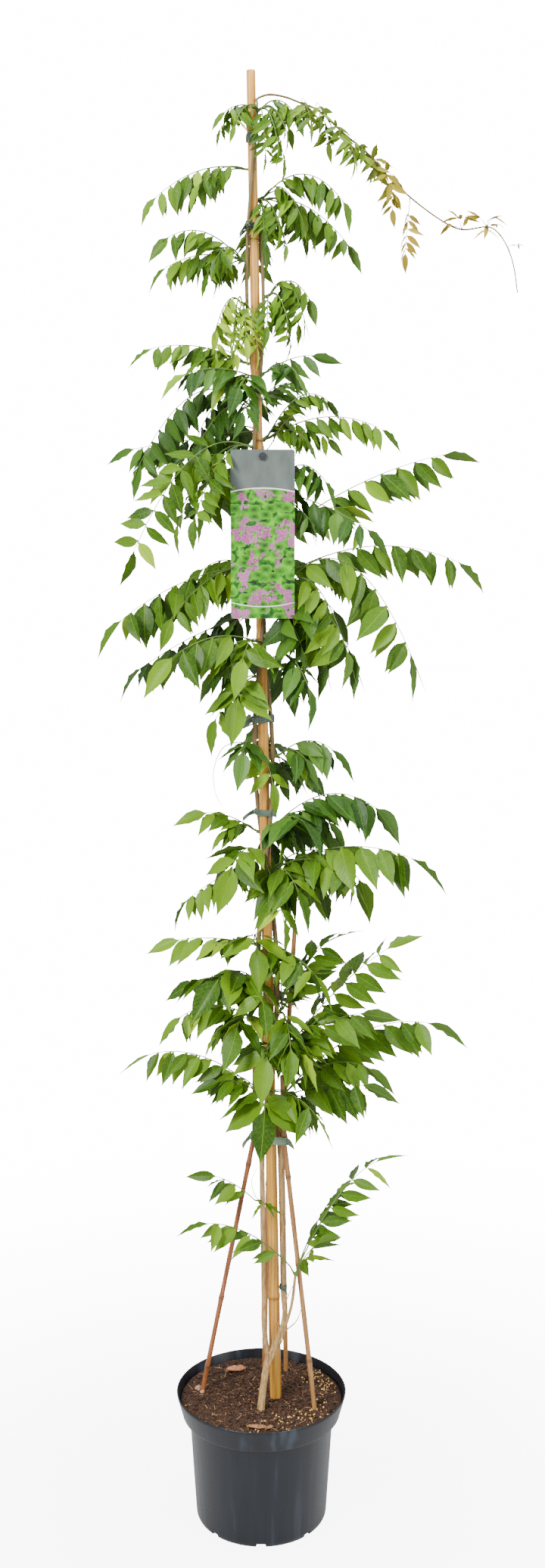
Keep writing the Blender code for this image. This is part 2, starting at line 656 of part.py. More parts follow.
def belt_outline(circles, spare, count):
    """Corners of a band pulled round a few circles, each given as centre and radius."""
    corners = []
    for number in range(count):
        way = heading(number * 360 / count)
        centre, radius = max(circles, key=lambda circle: circle[0].dot(way) + circle[1])
        corners.append(centre + way * (radius + spare))
    return corners


def held_circles(height, width, with_thin_canes):
    """What a band pulls together: the cane and both strands, over the width of the band."""
    circles = []
    for level in (height - width / 2, height + width / 2):
        circles.append((cane_axis(level), cane_radius(level)))
        circles += [(strand_centre(strand, level), strand_radius(level)) for strand in (0, 1)]
    if with_thin_canes:
        circles += [(Vector(tie), THIN_CANE_RADIUS * 1.1) for _, tie, _ in THIN_CANES.values()]
    return circles


def make_band(name, circles, height, width, count, group):
    """A flat closed band, an open ring of faces given its thickness."""
    bm = bmesh.new()
    low = [bm.verts.new((corner.x, corner.y, height - width / 2))
           for corner in belt_outline(circles, TIE_CLEARANCE, count)]
    edges = [bm.edges.new((low[number - 1], low[number])) for number in range(count)]
    raised = bmesh.ops.extrude_edge_only(bm, edges=edges)["geom"]
    top = [part for part in raised if isinstance(part, bmesh.types.BMVert)]
    bmesh.ops.translate(bm, verts=top, vec=(0, 0, width))
    bmesh.ops.recalc_face_normals(bm, faces=bm.faces[:])
    band = object_from(bm, name, group)
    solid = band.modifiers.new("thickness", "SOLIDIFY")
    solid.thickness = TIE_THICKNESS
    solid.offset = 1.0
    return as_mesh(band, group)


def make_tie(name, group):
    height, width, _ = TIES[name]
    if name == "tie_low":
        circles = [(strand_centre(1, height), strand_radius(height))]
        return make_band(name, circles, height, width, 10, group)
    gathers = name == "tie_gather"
    count = 20 if gathers else 12
    return make_band(name, held_circles(height, width, gathers), height, width, count, group)


def front_of(outline, x):
    """The foremost point of a closed outline at one place from left to right."""
    crossings = []
    for first, second in zip(outline, outline[1:] + outline[:1]):
        if min(first.x, second.x) <= x <= max(first.x, second.x) and first.x != second.x:
            crossings.append(first.lerp(second, (x - first.x) / (second.x - first.x)).y)
    return min(crossings)


def rounded_outline(width, height, radius):
    """Corner points of an upright rounded rectangle centred on the origin."""
    points = []
    for turn, (side_x, side_z) in enumerate(((1, 1), (-1, 1), (-1, -1), (1, -1))):
        for step in range(3):
            angle = math.radians(90 * turn + 45 * step)
            points.append((side_x * (width / 2 - radius) + radius * math.cos(angle),
                           side_z * (height / 2 - radius) + radius * math.sin(angle)))
    return points


def make_tag(group):
    """The printed card, a flat rounded sheet with a punched hole near its top."""
    data = bpy.data.curves.new("hang_tag", "CURVE")
    data.dimensions = "2D"
    data.fill_mode = "BOTH"
    data.extrude = TAG_THICKNESS / 2
    hole_y = TAG_HEIGHT / 2 - TAG_HOLE_DROP
    hole = [(TAG_HOLE_RADIUS * math.cos(math.radians(45 * step)),
             hole_y + TAG_HOLE_RADIUS * math.sin(math.radians(45 * step))) for step in range(8)]
    for outline in (rounded_outline(TAG_WIDTH, TAG_HEIGHT, TAG_CORNER), hole):
        spline = data.splines.new("POLY")
        spline.points.add(len(outline) - 1)
        spline.use_cyclic_u = True
        for knot, (x, y) in zip(spline.points, outline):
            knot.co = (x, y, 0.0, 1.0)
    card = bpy.data.objects.new("hang_tag", data)
    group.objects.link(card)
    card.location = (TAG_CENTRE_X, TAG_Y, TAG_TOP - TAG_HEIGHT / 2)
    card.rotation_euler = (math.radians(90), 0.0, 0.0)
    bpy.context.view_layer.update()
    return as_mesh(card, group)


def make_tag_clip(group):
    """A band round the cane and strands with a headed peg that the tag hangs on."""
    height = TAG_TOP - TAG_HOLE_DROP - (TAG_HOLE_RADIUS - TAG_PEG_RADIUS - GAP)
    width = 0.010
    circles = held_circles(height, width, False)
    band = make_band("tag_clip", circles, height, width, 16, group)
    middle = TAG_CENTRE_X
    outline = belt_outline(circles, TIE_CLEARANCE, 16)
    front = min(front_of(outline, middle + step) for step in (-TAG_PEG_RADIUS, 0.0, TAG_PEG_RADIUS))
    peg_end = TAG_Y - TAG_THICKNESS / 2 - GAP
    peg = cylinder_between("peg", (middle, front - GAP, height),
                           (middle, peg_end - 0.001, height), TAG_PEG_RADIUS, 8, group)
    head = cylinder_between("head", (middle, peg_end, height),
                            (middle, peg_end - TAG_PEG_HEAD_LENGTH, height), TAG_PEG_HEAD, 8, group)
    return boolean(band, [peg, head], "UNION", group)


# Leaves

def frond_line(root, target_axis, frond):
    """Points from the root to the tip of a frond, along a parabola in an upright plane."""
    tip = target_axis + heading(frond.toward) * (frond.reach / 100)
    rise = (4 * frond.mid - frond.tip) / 100
    sag = (2 * frond.tip - 4 * frond.mid) / 100
    points = []
    for step in range(CURVE_STEPS + 1):
        s = step / CURVE_STEPS
        flat = root.lerp(tip, s)
        points.append(Vector((flat.x, flat.y, root.z + rise * s + sag * s * s)))
    return points


def point_at(points, distance):
    """Place and direction at a distance along a line of points."""
    for first, second in zip(points, points[1:]):
        span = (second - first).length
        if distance <= span or second is points[-1]:
            return first + (second - first) * (distance / span), (second - first).normalized()
        distance -= span


def leaf_frame(along, frond):
    """Sideways and downward directions of the leaflets where the midrib runs along."""
    side = Vector((0, 0, 1)).cross(heading(frond.toward))
    down = side.cross(along).normalized()
    roll = math.radians(frond.roll)
    return (math.cos(roll) * side + math.sin(roll) * down,
            math.cos(roll) * down - math.sin(roll) * side)


def add_leaflet(bm, foot, way, across, length, width, curl):
    """Grow one pointed blade from the two foot vertices of the midrib."""
    middle = (foot[0].co + foot[1].co) / 2
    under = way.cross(across).normalized()
    if under.z > 0:
        under = -under
    shoulder = middle + way * (length * LEAFLET_SHOULDER) + under * (curl * LEAFLET_SHOULDER ** 2)
    left = bm.verts.new(shoulder - across * (width / 2))
    right = bm.verts.new(shoulder + across * (width / 2))
    tip = bm.verts.new(middle + way * length + under * curl)
    bm.faces.new((foot[0], foot[1], right, left))
    bm.faces.new((left, right, tip))


def frond_sheet(bm, root, target_axis, frond, draw):
    """One pinnate leaf: a ribbon midrib with opposite leaflets and one at its end."""
    line = frond_line(root, target_axis, frond)
    total = sum((second - first).length for first, second in zip(line, line[1:]))
    leaflet = frond.leaflet / 100
    bare = max(0.22 * total, 0.018)
    last = total - leaflet * 0.93
    pitch = (last - bare) / (frond.pairs - 0.35)
    feet = [bare + pitch * number for number in range(frond.pairs)]
    stations = [0.0]
    for foot in feet:
        stations += [foot - LEAFLET_FOOT / 2, foot + LEAFLET_FOOT / 2]
    stations.append(last)
    edges = []
    for distance in stations:
        place, along = point_at(line, distance)
        side, _ = leaf_frame(along, frond)
        edges.append((bm.verts.new(place - side * RACHIS_HALF_WIDTH),
                      bm.verts.new(place + side * RACHIS_HALF_WIDTH)))
    for (left, right), (next_left, next_right) in zip(edges, edges[1:]):
        bm.faces.new((left, right, next_right, next_left))
    for number, foot in enumerate(feet):
        place, along = point_at(line, foot)
        side, down = leaf_frame(along, frond)
        grown = leaflet * (0.80 + 0.20 * math.sin(math.pi * (number + 0.7) / (frond.pairs + 0.4)))
        near, far = edges[2 * number + 1], edges[2 * number + 2]
        for sign in (-1, 1):
            hang = math.radians(frond.hang + draw.uniform(-7, 7))
            sweep = math.radians(27 + draw.uniform(-6, 6))
            out = math.cos(hang) * sign * side + math.sin(hang) * down
            way = (math.cos(sweep) * out + math.sin(sweep) * along).normalized()
            across = (along - way * along.dot(way)).normalized()
            width = min(0.42 * grown, 0.92 * pitch * math.cos(sweep))
            if sign > 0:
                add_leaflet(bm, (near[1], far[1]), way, across, grown, width, 0.10 * grown)
            else:
                add_leaflet(bm, (far[0], near[0]), way, -across, grown, width, 0.10 * grown)
    place, along = point_at(line, last)
    side, down = leaf_frame(along, frond)
    way = (along + 0.25 * down * math.cos(math.radians(frond.roll))).normalized()
    twist = math.radians(END_TWIST)
    across = (math.cos(twist) * side + math.sin(twist) * down).normalized()
    across = (across - way * way.dot(across)).normalized()
    add_leaflet(bm, edges[-1], way, across, leaflet, 0.42 * leaflet, 0.10 * leaflet)


def frond_object(root, target_axis, frond, draw, group):
    """A frond's sheet given its thickness, as one closed blade."""
    bm = bmesh.new()
    frond_sheet(bm, root, target_axis, frond, draw)
    bmesh.ops.recalc_face_normals(bm, faces=bm.faces[:])
    bmesh.ops.triangulate(bm, faces=bm.faces[:])
    sheet = object_from(bm, "frond", group)
    solid = sheet.modifiers.new("thickness", "SOLIDIFY")
    solid.thickness = BLADE
    solid.offset = 0.0
    return as_mesh(sheet, group)


def mean_heading(fronds):
    total = sum((heading(frond.toward) for frond in fronds), Vector())
    return total.normalized()


def strand_for(way, height):
    """The strand that stands nearest to the side that a spray grows to."""
    return max((0, 1), key=lambda strand: heading(strand_angle(strand, height)).dot(way))


def spur_place(height, fronds):
    """Centre of the bud that a spray grows from, just clear of its strand."""
    way = mean_heading(fronds)
    strand = strand_for(way, height)
    out = heading(strand_angle(strand, height))
    lean = (way + 0.6 * out).normalized()
    return strand_centre(strand, height) + lean * (strand_radius(height) + GAP + SPUR_RADIUS)


def make_spray(name, spur, target_axis, fronds, group):
    """A bud with its fronds rooted in it, fused into one body."""
    draw = random.Random(SEED + sum(ord(letter) for letter in name))
    bm = bmesh.new()
    bmesh.ops.create_icosphere(bm, subdivisions=1, radius=SPUR_RADIUS)
    bmesh.ops.translate(bm, verts=bm.verts[:], vec=spur)
    bud = object_from(bm, name, group)
    leaves = [frond_object(spur + heading(frond.toward) * 0.001, target_axis, frond, draw, group)
              for frond in fronds]
    return mend(boolean(bud, leaves, "UNION", group, "MANIFOLD"))


def make_sprays(group):
    made = {}
    for name, (height, tone, fronds) in SPRAYS.items():
        height = height / 100
        spur = spur_place(height, fronds)
        if name in INNER_LEAVES:
            fronds += (INNER_LEAVES[name],)
        made[name] = (make_spray(name, spur, cane_axis(height), fronds, group), tone)
    height, tone, fronds = LOW_SPRAYS["spray_skirt_left"]
    height = height / 100
    spur = strand_centre(0, height) + heading(225) * (strand_radius(height) + GAP + SPUR_RADIUS)
    made["spray_skirt_left"] = (
        make_spray("spray_skirt_left", spur, cane_axis(height), fronds, group), tone)
    _, tone, fronds = LOW_SPRAYS["spray_skirt_right"]
    spur = Vector(SHOOT[-1]) + Vector((0, 0, GAP + SPUR_RADIUS + 0.0004))
    made["spray_skirt_right"] = (
        make_spray("spray_skirt_right", spur, Vector((0.034, -0.020, spur.z)), fronds, group), tone)
    return made


def make_runner(group):
    """The long young shoot at the top, with small drooping leaves along it."""
    before, end = strand_knots(0)[-2:]
    rise = (end - before).normalized()
    path = [end + rise * GAP, end + rise * 0.006] + [Vector(point) for point in RUNNER_PATH]
    radii = [RUNNER_RADIUS * (1.25 - 0.6 * step / len(path)) for step in range(len(path))]
    stem = tube("runner", path, radii, 1, group)
    draw = random.Random(SEED)
    leaves = []
    for knot, frond in RUNNER_LEAVES:
        start = Vector(RUNNER_PATH[knot])
        leaves.append(frond_object(start, start, frond, draw, group))
    return mend(boolean(stem, leaves, "UNION", group, "MANIFOLD"))


def finish(made, material):
    made.data.materials.clear()
    made.data.materials.append(material)
    made.data.shade_smooth()
    made.data.set_sharp_from_angle(angle=math.radians(35))


def main():
    clear_scene()
    plant = collection("wisteria_in_a_pot")
    materials = make_materials()
    finish(make_pot(plant), materials["pot_plastic"])
    finish(make_soil(plant), materials["soil"])
    finish(make_main_cane(plant), materials["bamboo"])
    for name in THIN_CANES:
        finish(make_thin_cane(name, plant), materials["thin_bamboo"])
    finish(make_vine(plant), materials["bark"])
    for name, (_, _, tape) in TIES.items():
        finish(make_tie(name, plant), materials[tape])
    finish(make_tag(plant), materials["tag_card"])
    finish(make_tag_clip(plant), materials["tie_black"])
    for spray, tone in make_sprays(plant).values():
        finish(spray, materials["leaf_" + tone])
    finish(make_runner(plant), materials["leaf_bronze"])


main()
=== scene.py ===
"""Looks of a young wisteria trained up a tall bamboo cane in a round nursery pot.

Metres, +Z up. The origin is the centre of the pot's underside, and the side of the
plant that carries the hang tag faces -Y.
"""

import math
import random
from collections import namedtuple

import bmesh
import bpy
from mathutils import Matrix, Vector, noise


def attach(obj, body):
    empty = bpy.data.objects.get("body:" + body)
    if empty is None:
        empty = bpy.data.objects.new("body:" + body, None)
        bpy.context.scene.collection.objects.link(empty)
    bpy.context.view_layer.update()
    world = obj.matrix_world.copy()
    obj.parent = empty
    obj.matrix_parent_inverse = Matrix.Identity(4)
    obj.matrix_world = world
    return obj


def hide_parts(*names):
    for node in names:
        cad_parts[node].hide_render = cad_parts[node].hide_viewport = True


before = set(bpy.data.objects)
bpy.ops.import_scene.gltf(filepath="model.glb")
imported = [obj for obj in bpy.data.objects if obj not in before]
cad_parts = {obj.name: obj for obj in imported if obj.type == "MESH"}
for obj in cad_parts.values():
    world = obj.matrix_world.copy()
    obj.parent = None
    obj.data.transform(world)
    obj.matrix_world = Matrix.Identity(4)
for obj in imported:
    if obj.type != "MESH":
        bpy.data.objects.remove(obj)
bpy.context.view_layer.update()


# Pot: one injection-moulded black plastic shell with a deep rim band and a plain tapering
# body. Drain notches are moulded through the foot of the wall.

POT_HEIGHT = 0.200
POT_RIM_RADIUS = 0.128
POT_BAND_HEIGHT = 0.035
POT_BAND_FOOT_RADIUS = 0.1195
POT_BODY_TOP_RADIUS = 0.1085
POT_BASE_RADIUS = 0.098
POT_WALL = 0.0020
POT_TURN_STEPS = 120
DRAIN_COUNT = 8
DRAIN_WIDTH = 0.014
DRAIN_HEIGHT = 0.007
DRAIN_REACH = 0.022


def heading(degrees):
    """Level direction at an angle from the right, counted towards the back."""
    angle = math.radians(degrees)
    return Vector((math.cos(angle), math.sin(angle), 0.0))


def object_from(bm, name):
    """Put a bmesh into a new object and free it."""
    mesh = bpy.data.meshes.new(name)
    bm.to_mesh(mesh)
    bm.free()
    made = bpy.data.objects.new(name, mesh)
    bpy.context.scene.collection.objects.link(made)
    return made


def applied(source):
    """The same object as a plain mesh with its modifiers or its curve bevel applied."""
    graph = bpy.context.evaluated_depsgraph_get()
    graph.update()
    mesh = bpy.data.meshes.new_from_object(source.evaluated_get(graph))
    name = source.name
    bpy.data.objects.remove(source, do_unlink=True)
    mesh.name = name
    made = bpy.data.objects.new(name, mesh)
    bpy.context.scene.collection.objects.link(made)
    return made


def turned_shape(profile, steps):
    """A closed turned body from (radius, height) points that start and end on the axis."""
    bm = bmesh.new()
    corners = [bm.verts.new((radius, 0.0, height)) for radius, height in profile]
    edges = [bm.edges.new(pair) for pair in zip(corners, corners[1:])]
    bmesh.ops.spin(bm, geom=corners + edges, axis=(0, 0, 1), cent=(0, 0, 0),
                   angle=math.tau, steps=steps, use_merge=True)
    bmesh.ops.remove_doubles(bm, verts=bm.verts[:], dist=0.00001)
    bmesh.ops.recalc_face_normals(bm, faces=bm.faces[:])
    return bm


def dress(made, materials, slot, *nodes, sharp=40):
    """Give a finished piece its materials, unless it has them, and hide the CAD parts that it stands for.
    """
    if not made.data.materials:
        for material in materials:
            made.data.materials.append(material)
    made.data.shade_smooth()
    made.data.set_sharp_from_angle(angle=math.radians(sharp))
    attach(made, "root")
    if nodes:
        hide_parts(*nodes)
    return made


def shader_tree(name, roughness):
    """A new material, its node tree and its surface shader."""
    material = bpy.data.materials.new(name)
    material.use_nodes = True
    shader = material.node_tree.nodes["Principled BSDF"]
    shader.inputs["Roughness"].default_value = roughness
    return material, material.node_tree, shader


def add_node(tree, kind, inputs, **fields):
    """Add a shader node, set its fields, and set or wire its inputs."""
    made = tree.nodes.new("ShaderNode" + kind)
    for field, value in fields.items():
        setattr(made, field, value)
    for name, value in inputs.items():
        if isinstance(value, bpy.types.NodeSocket):
            tree.links.new(value, made.inputs[name])
        else:
            made.inputs[name].default_value = value
    return made


def calc(tree, operation, first, second=0.0, third=0.0):
    """The result of one sum on sockets or numbers."""
    return add_node(tree, "Math", {0: first, 1: second, 2: third}, operation=operation).outputs[0]


def stretched(tree, stretch):
    """Object coordinates in metres, multiplied along each axis."""
    place = add_node(tree, "TexCoord", {}).outputs["Object"]
    return add_node(tree, "Mapping", {"Vector": place, "Scale": stretch}).outputs[0]


def mottle(tree, stretch, detail=3.0):
    """Soft noise from 0 to 1, with a pattern size set along each axis."""
    return add_node(tree, "TexNoise", {"Vector": stretched(tree, stretch), "Scale": 1.0,
                                       "Detail": detail}).outputs["Fac"]


def colours(tree, factor, stops):
    """A colour that runs through stops, each a place from 0 to 1 and a colour."""
    made = add_node(tree, "ValToRGB", {"Fac": factor})
    ramp = made.color_ramp
    while len(ramp.elements) < len(stops):
        ramp.elements.new(0.5)
    for element, (place, colour) in zip(ramp.elements, stops):
        element.position = place
        element.color = (*colour, 1.0)
    return made.outputs["Color"]


def blend(tree, factor, under, over):
    """One colour laid over another by a factor."""
    made = add_node(tree, "Mix", {"Factor": factor, "A": under, "B": over}, data_type="RGBA")
    return made.outputs["Result"]


def raise_bump(tree, shader, height, depth, strength=1.0):
    """Give a shader small relief of a depth in metres."""
    made = add_node(tree, "Bump", {"Height": height, "Distance": depth, "Strength": strength})
    tree.links.new(made.outputs["Normal"], shader.inputs["Normal"])


def pot_inner_radius(height):
    """Inside radius of the pot below its rim band."""
    share = height / (POT_HEIGHT - POT_BAND_HEIGHT)
    return POT_BASE_RADIUS * (1 - share) + POT_BODY_TOP_RADIUS * share - POT_WALL


def band_inner_radius(height):
    """Inside radius of the pot's flared rim band."""
    share = (height - POT_HEIGHT + POT_BAND_HEIGHT) / POT_BAND_HEIGHT
    return POT_BAND_FOOT_RADIUS * (1 - share) + POT_RIM_RADIUS * share - POT_WALL


def pot_profile():
    """The wall from the middle of the inside floor, over the rim and back underneath."""
    shoulder = POT_HEIGHT - POT_BAND_HEIGHT
    rim = [(POT_RIM_RADIUS - POT_WALL / 2 + POT_WALL / 2 * math.cos(math.radians(angle)),
            POT_HEIGHT - POT_WALL / 2 + POT_WALL / 2 * math.sin(math.radians(angle)))
           for angle in range(165, -1, -30)]
    return [
        (0.0, POT_WALL), (POT_BASE_RADIUS - POT_WALL - 0.002, POT_WALL),
        (pot_inner_radius(0.006), 0.006), (pot_inner_radius(shoulder), shoulder),
        (POT_BAND_FOOT_RADIUS - POT_WALL, shoulder + 0.003), *rim,
        (POT_RIM_RADIUS - 0.0009, POT_HEIGHT - 0.0050),
        (POT_BAND_FOOT_RADIUS + 0.0006, shoulder + 0.004),
        (POT_BAND_FOOT_RADIUS, shoulder + 0.0014), (POT_BAND_FOOT_RADIUS - 0.0004, shoulder + 0.0003),
        (POT_BAND_FOOT_RADIUS - 0.0014, shoulder - 0.0006),
        (POT_BODY_TOP_RADIUS + 0.0016, shoulder - 0.0018),
        (POT_BODY_TOP_RADIUS + 0.0003, shoulder - 0.0026), (POT_BODY_TOP_RADIUS - 0.0002, shoulder - 0.005),
        (POT_BASE_RADIUS + 0.0014, 0.011), (POT_BASE_RADIUS + 0.0008, 0.0055),
        (POT_BASE_RADIUS - 0.0004, 0.0026), (POT_BASE_RADIUS - 0.0022, 0.0007),
        (POT_BASE_RADIUS - 0.0040, 0.0), (0.0, 0.0),
    ]


def cut_drains(pot):
    """Notch the foot of the wall with rounded slots, evenly round the pot."""
    tool = bmesh.new()
    for number in range(DRAIN_COUNT):
        slot = bmesh.ops.create_cube(tool, size=1.0)["verts"]
        bmesh.ops.scale(tool, verts=slot, vec=(DRAIN_REACH, DRAIN_WIDTH, DRAIN_HEIGHT * 2))
        bmesh.ops.translate(tool, verts=slot, vec=(POT_BASE_RADIUS - 0.004, 0, 0))
        turn = Matrix.Rotation(math.radians(270 + number * 360 / DRAIN_COUNT), 3, "Z")
        bmesh.ops.rotate(tool, verts=slot, matrix=turn)
    edges = [edge for edge in tool.edges if abs(edge.verts[0].co.z - edge.verts[1].co.z) < 1e-6]
    bmesh.ops.bevel(tool, geom=edges, offset=0.0025, segments=3, profile=0.5,
                    affect="EDGES", material=-1)
    cutter = object_from(tool, "drain_cutter")
    cut = pot.modifiers.new("drains", "BOOLEAN")
    cut.operation = "DIFFERENCE"
    cut.object = cutter
    pot = applied(pot)
    bpy.data.objects.remove(cutter, do_unlink=True)
    return pot


def moulded_plastic():
    """Black plastic with a blue cast, faint flow streaks that also carry a painted sheen, soft scuffs and
    settled dust.
    """
    material, tree, shader = shader_tree("moulded_plastic", 0.32)
    flow_and_sheen_streaks = mottle(tree, (46, 46, 3.0), 4.0)
    scuffs = mottle(tree, (12, 12, 16), 5.0)
    # The lighter vertical streaks are painted sheen as well as faint flow streaks.
    base = colours(tree, flow_and_sheen_streaks, (
        (0.34, (0.001, 0.002, 0.004)), (0.56, (0.004, 0.006, 0.011)), (0.74, (0.026, 0.038, 0.054))))
    tree.links.new(blend(tree, calc(tree, "MULTIPLY", scuffs, 0.16), base,
                         (0.012, 0.017, 0.025, 1.0)), shader.inputs["Base Color"])
    shader.inputs["Specular IOR Level"].default_value = 0.38
    tree.links.new(calc(tree, "MULTIPLY_ADD", flow_and_sheen_streaks, 0.26, 0.20), shader.inputs["Roughness"])
    raise_bump(tree, shader, mottle(tree, (60, 60, 5), 3.0), 0.0006, 0.35)
    return material


pot = cut_drains(object_from(turned_shape(pot_profile(), POT_TURN_STEPS), "nursery_pot"))
dress(pot, [moulded_plastic()], "pot_plastic", "pot", sharp=50)


# Potting mix: a damp peat and bark blend that fills the pot to just below its rim. Loose
# crumbs, fibres, slow-release feed granules and a few dead scraps lie on top of it.

SOIL_TOP = 0.187
SOIL_RADIUS = 0.1216
SOIL_RINGS = 46
SOIL_TURN_STEPS = 132
CRUMB_COUNT = 1500
CRUMB_SPREAD = 0.064
FIBRE_COUNT = 480
FIBRE_SPREAD = 0.066
# A patch of granules: its centre, its spread and how many lie in it.
GRANULE_PATCHES = (
    ((0.042, -0.070), 0.015, 38), ((0.072, -0.056), 0.015, 24), ((0.094, -0.020), 0.012, 12),
    ((0.100, 0.034), 0.012, 34), ((0.092, 0.062), 0.013, 26), ((-0.010, -0.088), 0.012, 10),
    ((0.000, 0.000), 0.060, 14))
# Where stems leave the soil: across, back and the radius that is kept clear.
STEM_SPOTS = ((0.0219, 0.0, 0.0105), (0.0, -0.039, 0.0085), (-0.090, 0.018, 0.0045),
              (0.080, -0.034, 0.0045), (0.038, 0.080, 0.0045), (0.004, 0.082, 0.0045))


def soil_height(x, y):
    """Height of the rough top of the mix, level with its mean at the wall."""
    place = Vector((x, y, 0.0))
    lumps = noise.noise(place * 38) * 0.0026 + noise.noise(place * 95) * 0.0017
    crumbs = noise.noise(place * 240) * 0.0010 + noise.noise(place * 520) * 0.0006
    edge = min(1.0, max(0.0, (SOIL_RADIUS - math.hypot(x, y)) / 0.012))
    return SOIL_TOP + (lumps + crumbs) * (0.35 + 0.65 * edge)


def soil_shape():
    """The filled solid, its top raised into lumps."""
    shoulder = POT_HEIGHT - POT_BAND_HEIGHT
    profile = [(SOIL_RADIUS * step / SOIL_RINGS, SOIL_TOP) for step in range(SOIL_RINGS + 1)]
    profile += [(band_inner_radius(shoulder + 0.005) - 0.0012, shoulder + 0.005),
                (pot_inner_radius(shoulder) - 0.0006, shoulder + 0.0006),
                (pot_inner_radius(0.008) - 0.0006, 0.008),
                (POT_BASE_RADIUS - POT_WALL - 0.004, POT_WALL + 0.0003), (0.0, POT_WALL + 0.0003)]
    bm = turned_shape(profile, SOIL_TURN_STEPS)
    for vertex in bm.verts:
        if vertex.co.z > SOIL_TOP - 0.001:
            vertex.co.z = soil_height(vertex.co.x, vertex.co.y)
    return object_from(bm, "potting_mix")


def scatter(draw, centre, spread):
    """A place on the soil near a centre, off the stems and off the pot's wall."""
    while True:
        x = centre[0] + draw.gauss(0, spread)
        y = centre[1] + draw.gauss(0, spread)
        if math.hypot(x, y) < SOIL_RADIUS - 0.003 and all(
                math.hypot(x - left, y - back) > radius for left, back, radius in STEM_SPOTS):
            return x, y


def lay_scrap(bm, draw, place, sizes, kind, sink=0.2):
    """Drop one small faceted scrap on the soil, turned at random."""
    made = bmesh.ops.create_icosphere(bm, subdivisions=1, radius=1.0)["verts"]
    for vertex in made:
        vertex.co *= draw.uniform(0.8, 1.15)
    bmesh.ops.scale(bm, verts=made, vec=sizes)
    tilt = Matrix.Rotation(draw.uniform(-0.35, 0.35), 3, "X") @ Matrix.Rotation(
        draw.uniform(-0.35, 0.35), 3, "Y")
    turn = Matrix.Rotation(draw.uniform(0, math.tau), 3, "Z")
    bmesh.ops.rotate(bm, verts=made, matrix=turn @ tilt)
    height = soil_height(*place) + sizes[2] * (1 - 2 * sink)
    bmesh.ops.translate(bm, verts=made, vec=(*place, height))
    for face in {face for vertex in made for face in vertex.link_faces}:
        face.material_index = kind


def peat():
    """Dark damp peat with redder bark in it."""
    material, tree, shader = shader_tree("peat", 0.92)
    flecks = mottle(tree, (420, 420, 420), 6.0)
    patches = mottle(tree, (60, 60, 60), 3.0)
    dark = colours(tree, flecks, (
        (0.36, (0.003, 0.001, 0.001)), (0.49, (0.024, 0.008, 0.002)),
        (0.60, (0.085, 0.032, 0.009)), (0.72, (0.230, 0.115, 0.042))))
    tree.links.new(blend(tree, calc(tree, "MULTIPLY", patches, 0.35), dark,
                         (0.034, 0.012, 0.004, 1.0)), shader.inputs["Base Color"])
    raise_bump(tree, shader, mottle(tree, (900, 900, 900), 4.0), 0.0012, 0.9)
    return material


def plain_scrap(name, dark, light, grain_size, roughness=0.8):
    """A small natural scrap whose colour varies over a few millimetres."""
    material, tree, shader = shader_tree(name, roughness)
    flecks = mottle(tree, (grain_size,) * 3, 4.0)
    tree.links.new(colours(tree, flecks, ((0.3, dark), (0.7, light))),
                   shader.inputs["Base Color"])
    raise_bump(tree, shader, flecks, 0.0005, 0.6)
    return material


def soil_scraps():
    """Crumbs, fibres and granules as one loose layer."""
    draw = random.Random(7)
    bm = bmesh.new()
    for _ in range(CRUMB_COUNT):
        size = draw.uniform(0.0010, 0.0036) * draw.uniform(0.5, 1.0)
        lay_scrap(bm, draw, scatter(draw, (0, 0), CRUMB_SPREAD),
                  (size * draw.uniform(0.8, 1.7), size, size * draw.uniform(0.5, 0.9)),
                  draw.choice((0, 0, 0, 1)))
    for _ in range(FIBRE_COUNT):
        lay_scrap(bm, draw, scatter(draw, (0, 0), FIBRE_SPREAD),
                  (draw.uniform(0.003, 0.010), draw.uniform(0.0004, 0.0010), 0.0006),
                  draw.choice((1, 1, 2)))
    for centre, spread, count in GRANULE_PATCHES:
        for _ in range(count):
            size = draw.uniform(0.0010, 0.0018)
            lay_scrap(bm, draw, scatter(draw, centre, spread), (size, size, size * 0.9),
                      draw.choice((3, 3, 4)), 0.0)
    return object_from(bm, "soil_scraps")


peat_mix = peat()
bark_brown = plain_scrap("bark_brown", (0.022, 0.008, 0.003), (0.105, 0.042, 0.016), 700)
bark_pale = plain_scrap("bark_pale", (0.160, 0.080, 0.030), (0.380, 0.220, 0.100), 500)
granule_cream = plain_scrap("granule_cream", (0.420, 0.250, 0.070), (0.740, 0.500, 0.190), 600)
granule_gold = plain_scrap("granule_gold", (0.420, 0.230, 0.030), (0.700, 0.440, 0.100), 600, 0.5)
dress(soil_shape(), [peat_mix], "soil", "soil", sharp=180)
dress(soil_scraps(), [peat_mix, bark_brown, bark_pale, granule_cream, granule_gold], "soil", sharp=25)


def fallen_leaf(name, centre, length, width, turn, curl):
    """A dead blade: a pointed grid, cupped along its middle and wrinkled."""
    bm = bmesh.new()
    bmesh.ops.create_grid(bm, x_segments=14, y_segments=6, size=1.0)
    for vertex in bm.verts:
        along, aside = vertex.co.x, vertex.co.y
        taper = max(0.0, 1 - abs(along) ** 2.2) ** 0.7 * (1 + 0.18 * math.sin(9 * along + 3 * aside))
        ripple = noise.noise(Vector((along * 2.3, aside * 2.3, curl))) * 0.0022
        vertex.co = Vector((along * length / 2, aside * taper * width / 2,
                            curl * aside * aside * width + ripple))
    bmesh.ops.remove_doubles(bm, verts=bm.verts[:], dist=0.0002)
    bmesh.ops.rotate(bm, verts=bm.verts[:], matrix=Matrix.Rotation(math.radians(turn), 3, "Z"))
    bmesh.ops.translate(bm, verts=bm.verts[:],
                        vec=(*centre, soil_height(*centre) + 0.0028))
    made = object_from(bm, name)
    solid = made.modifiers.new("thickness", "SOLIDIFY")
    solid.thickness = 0.0005
    return applied(made)


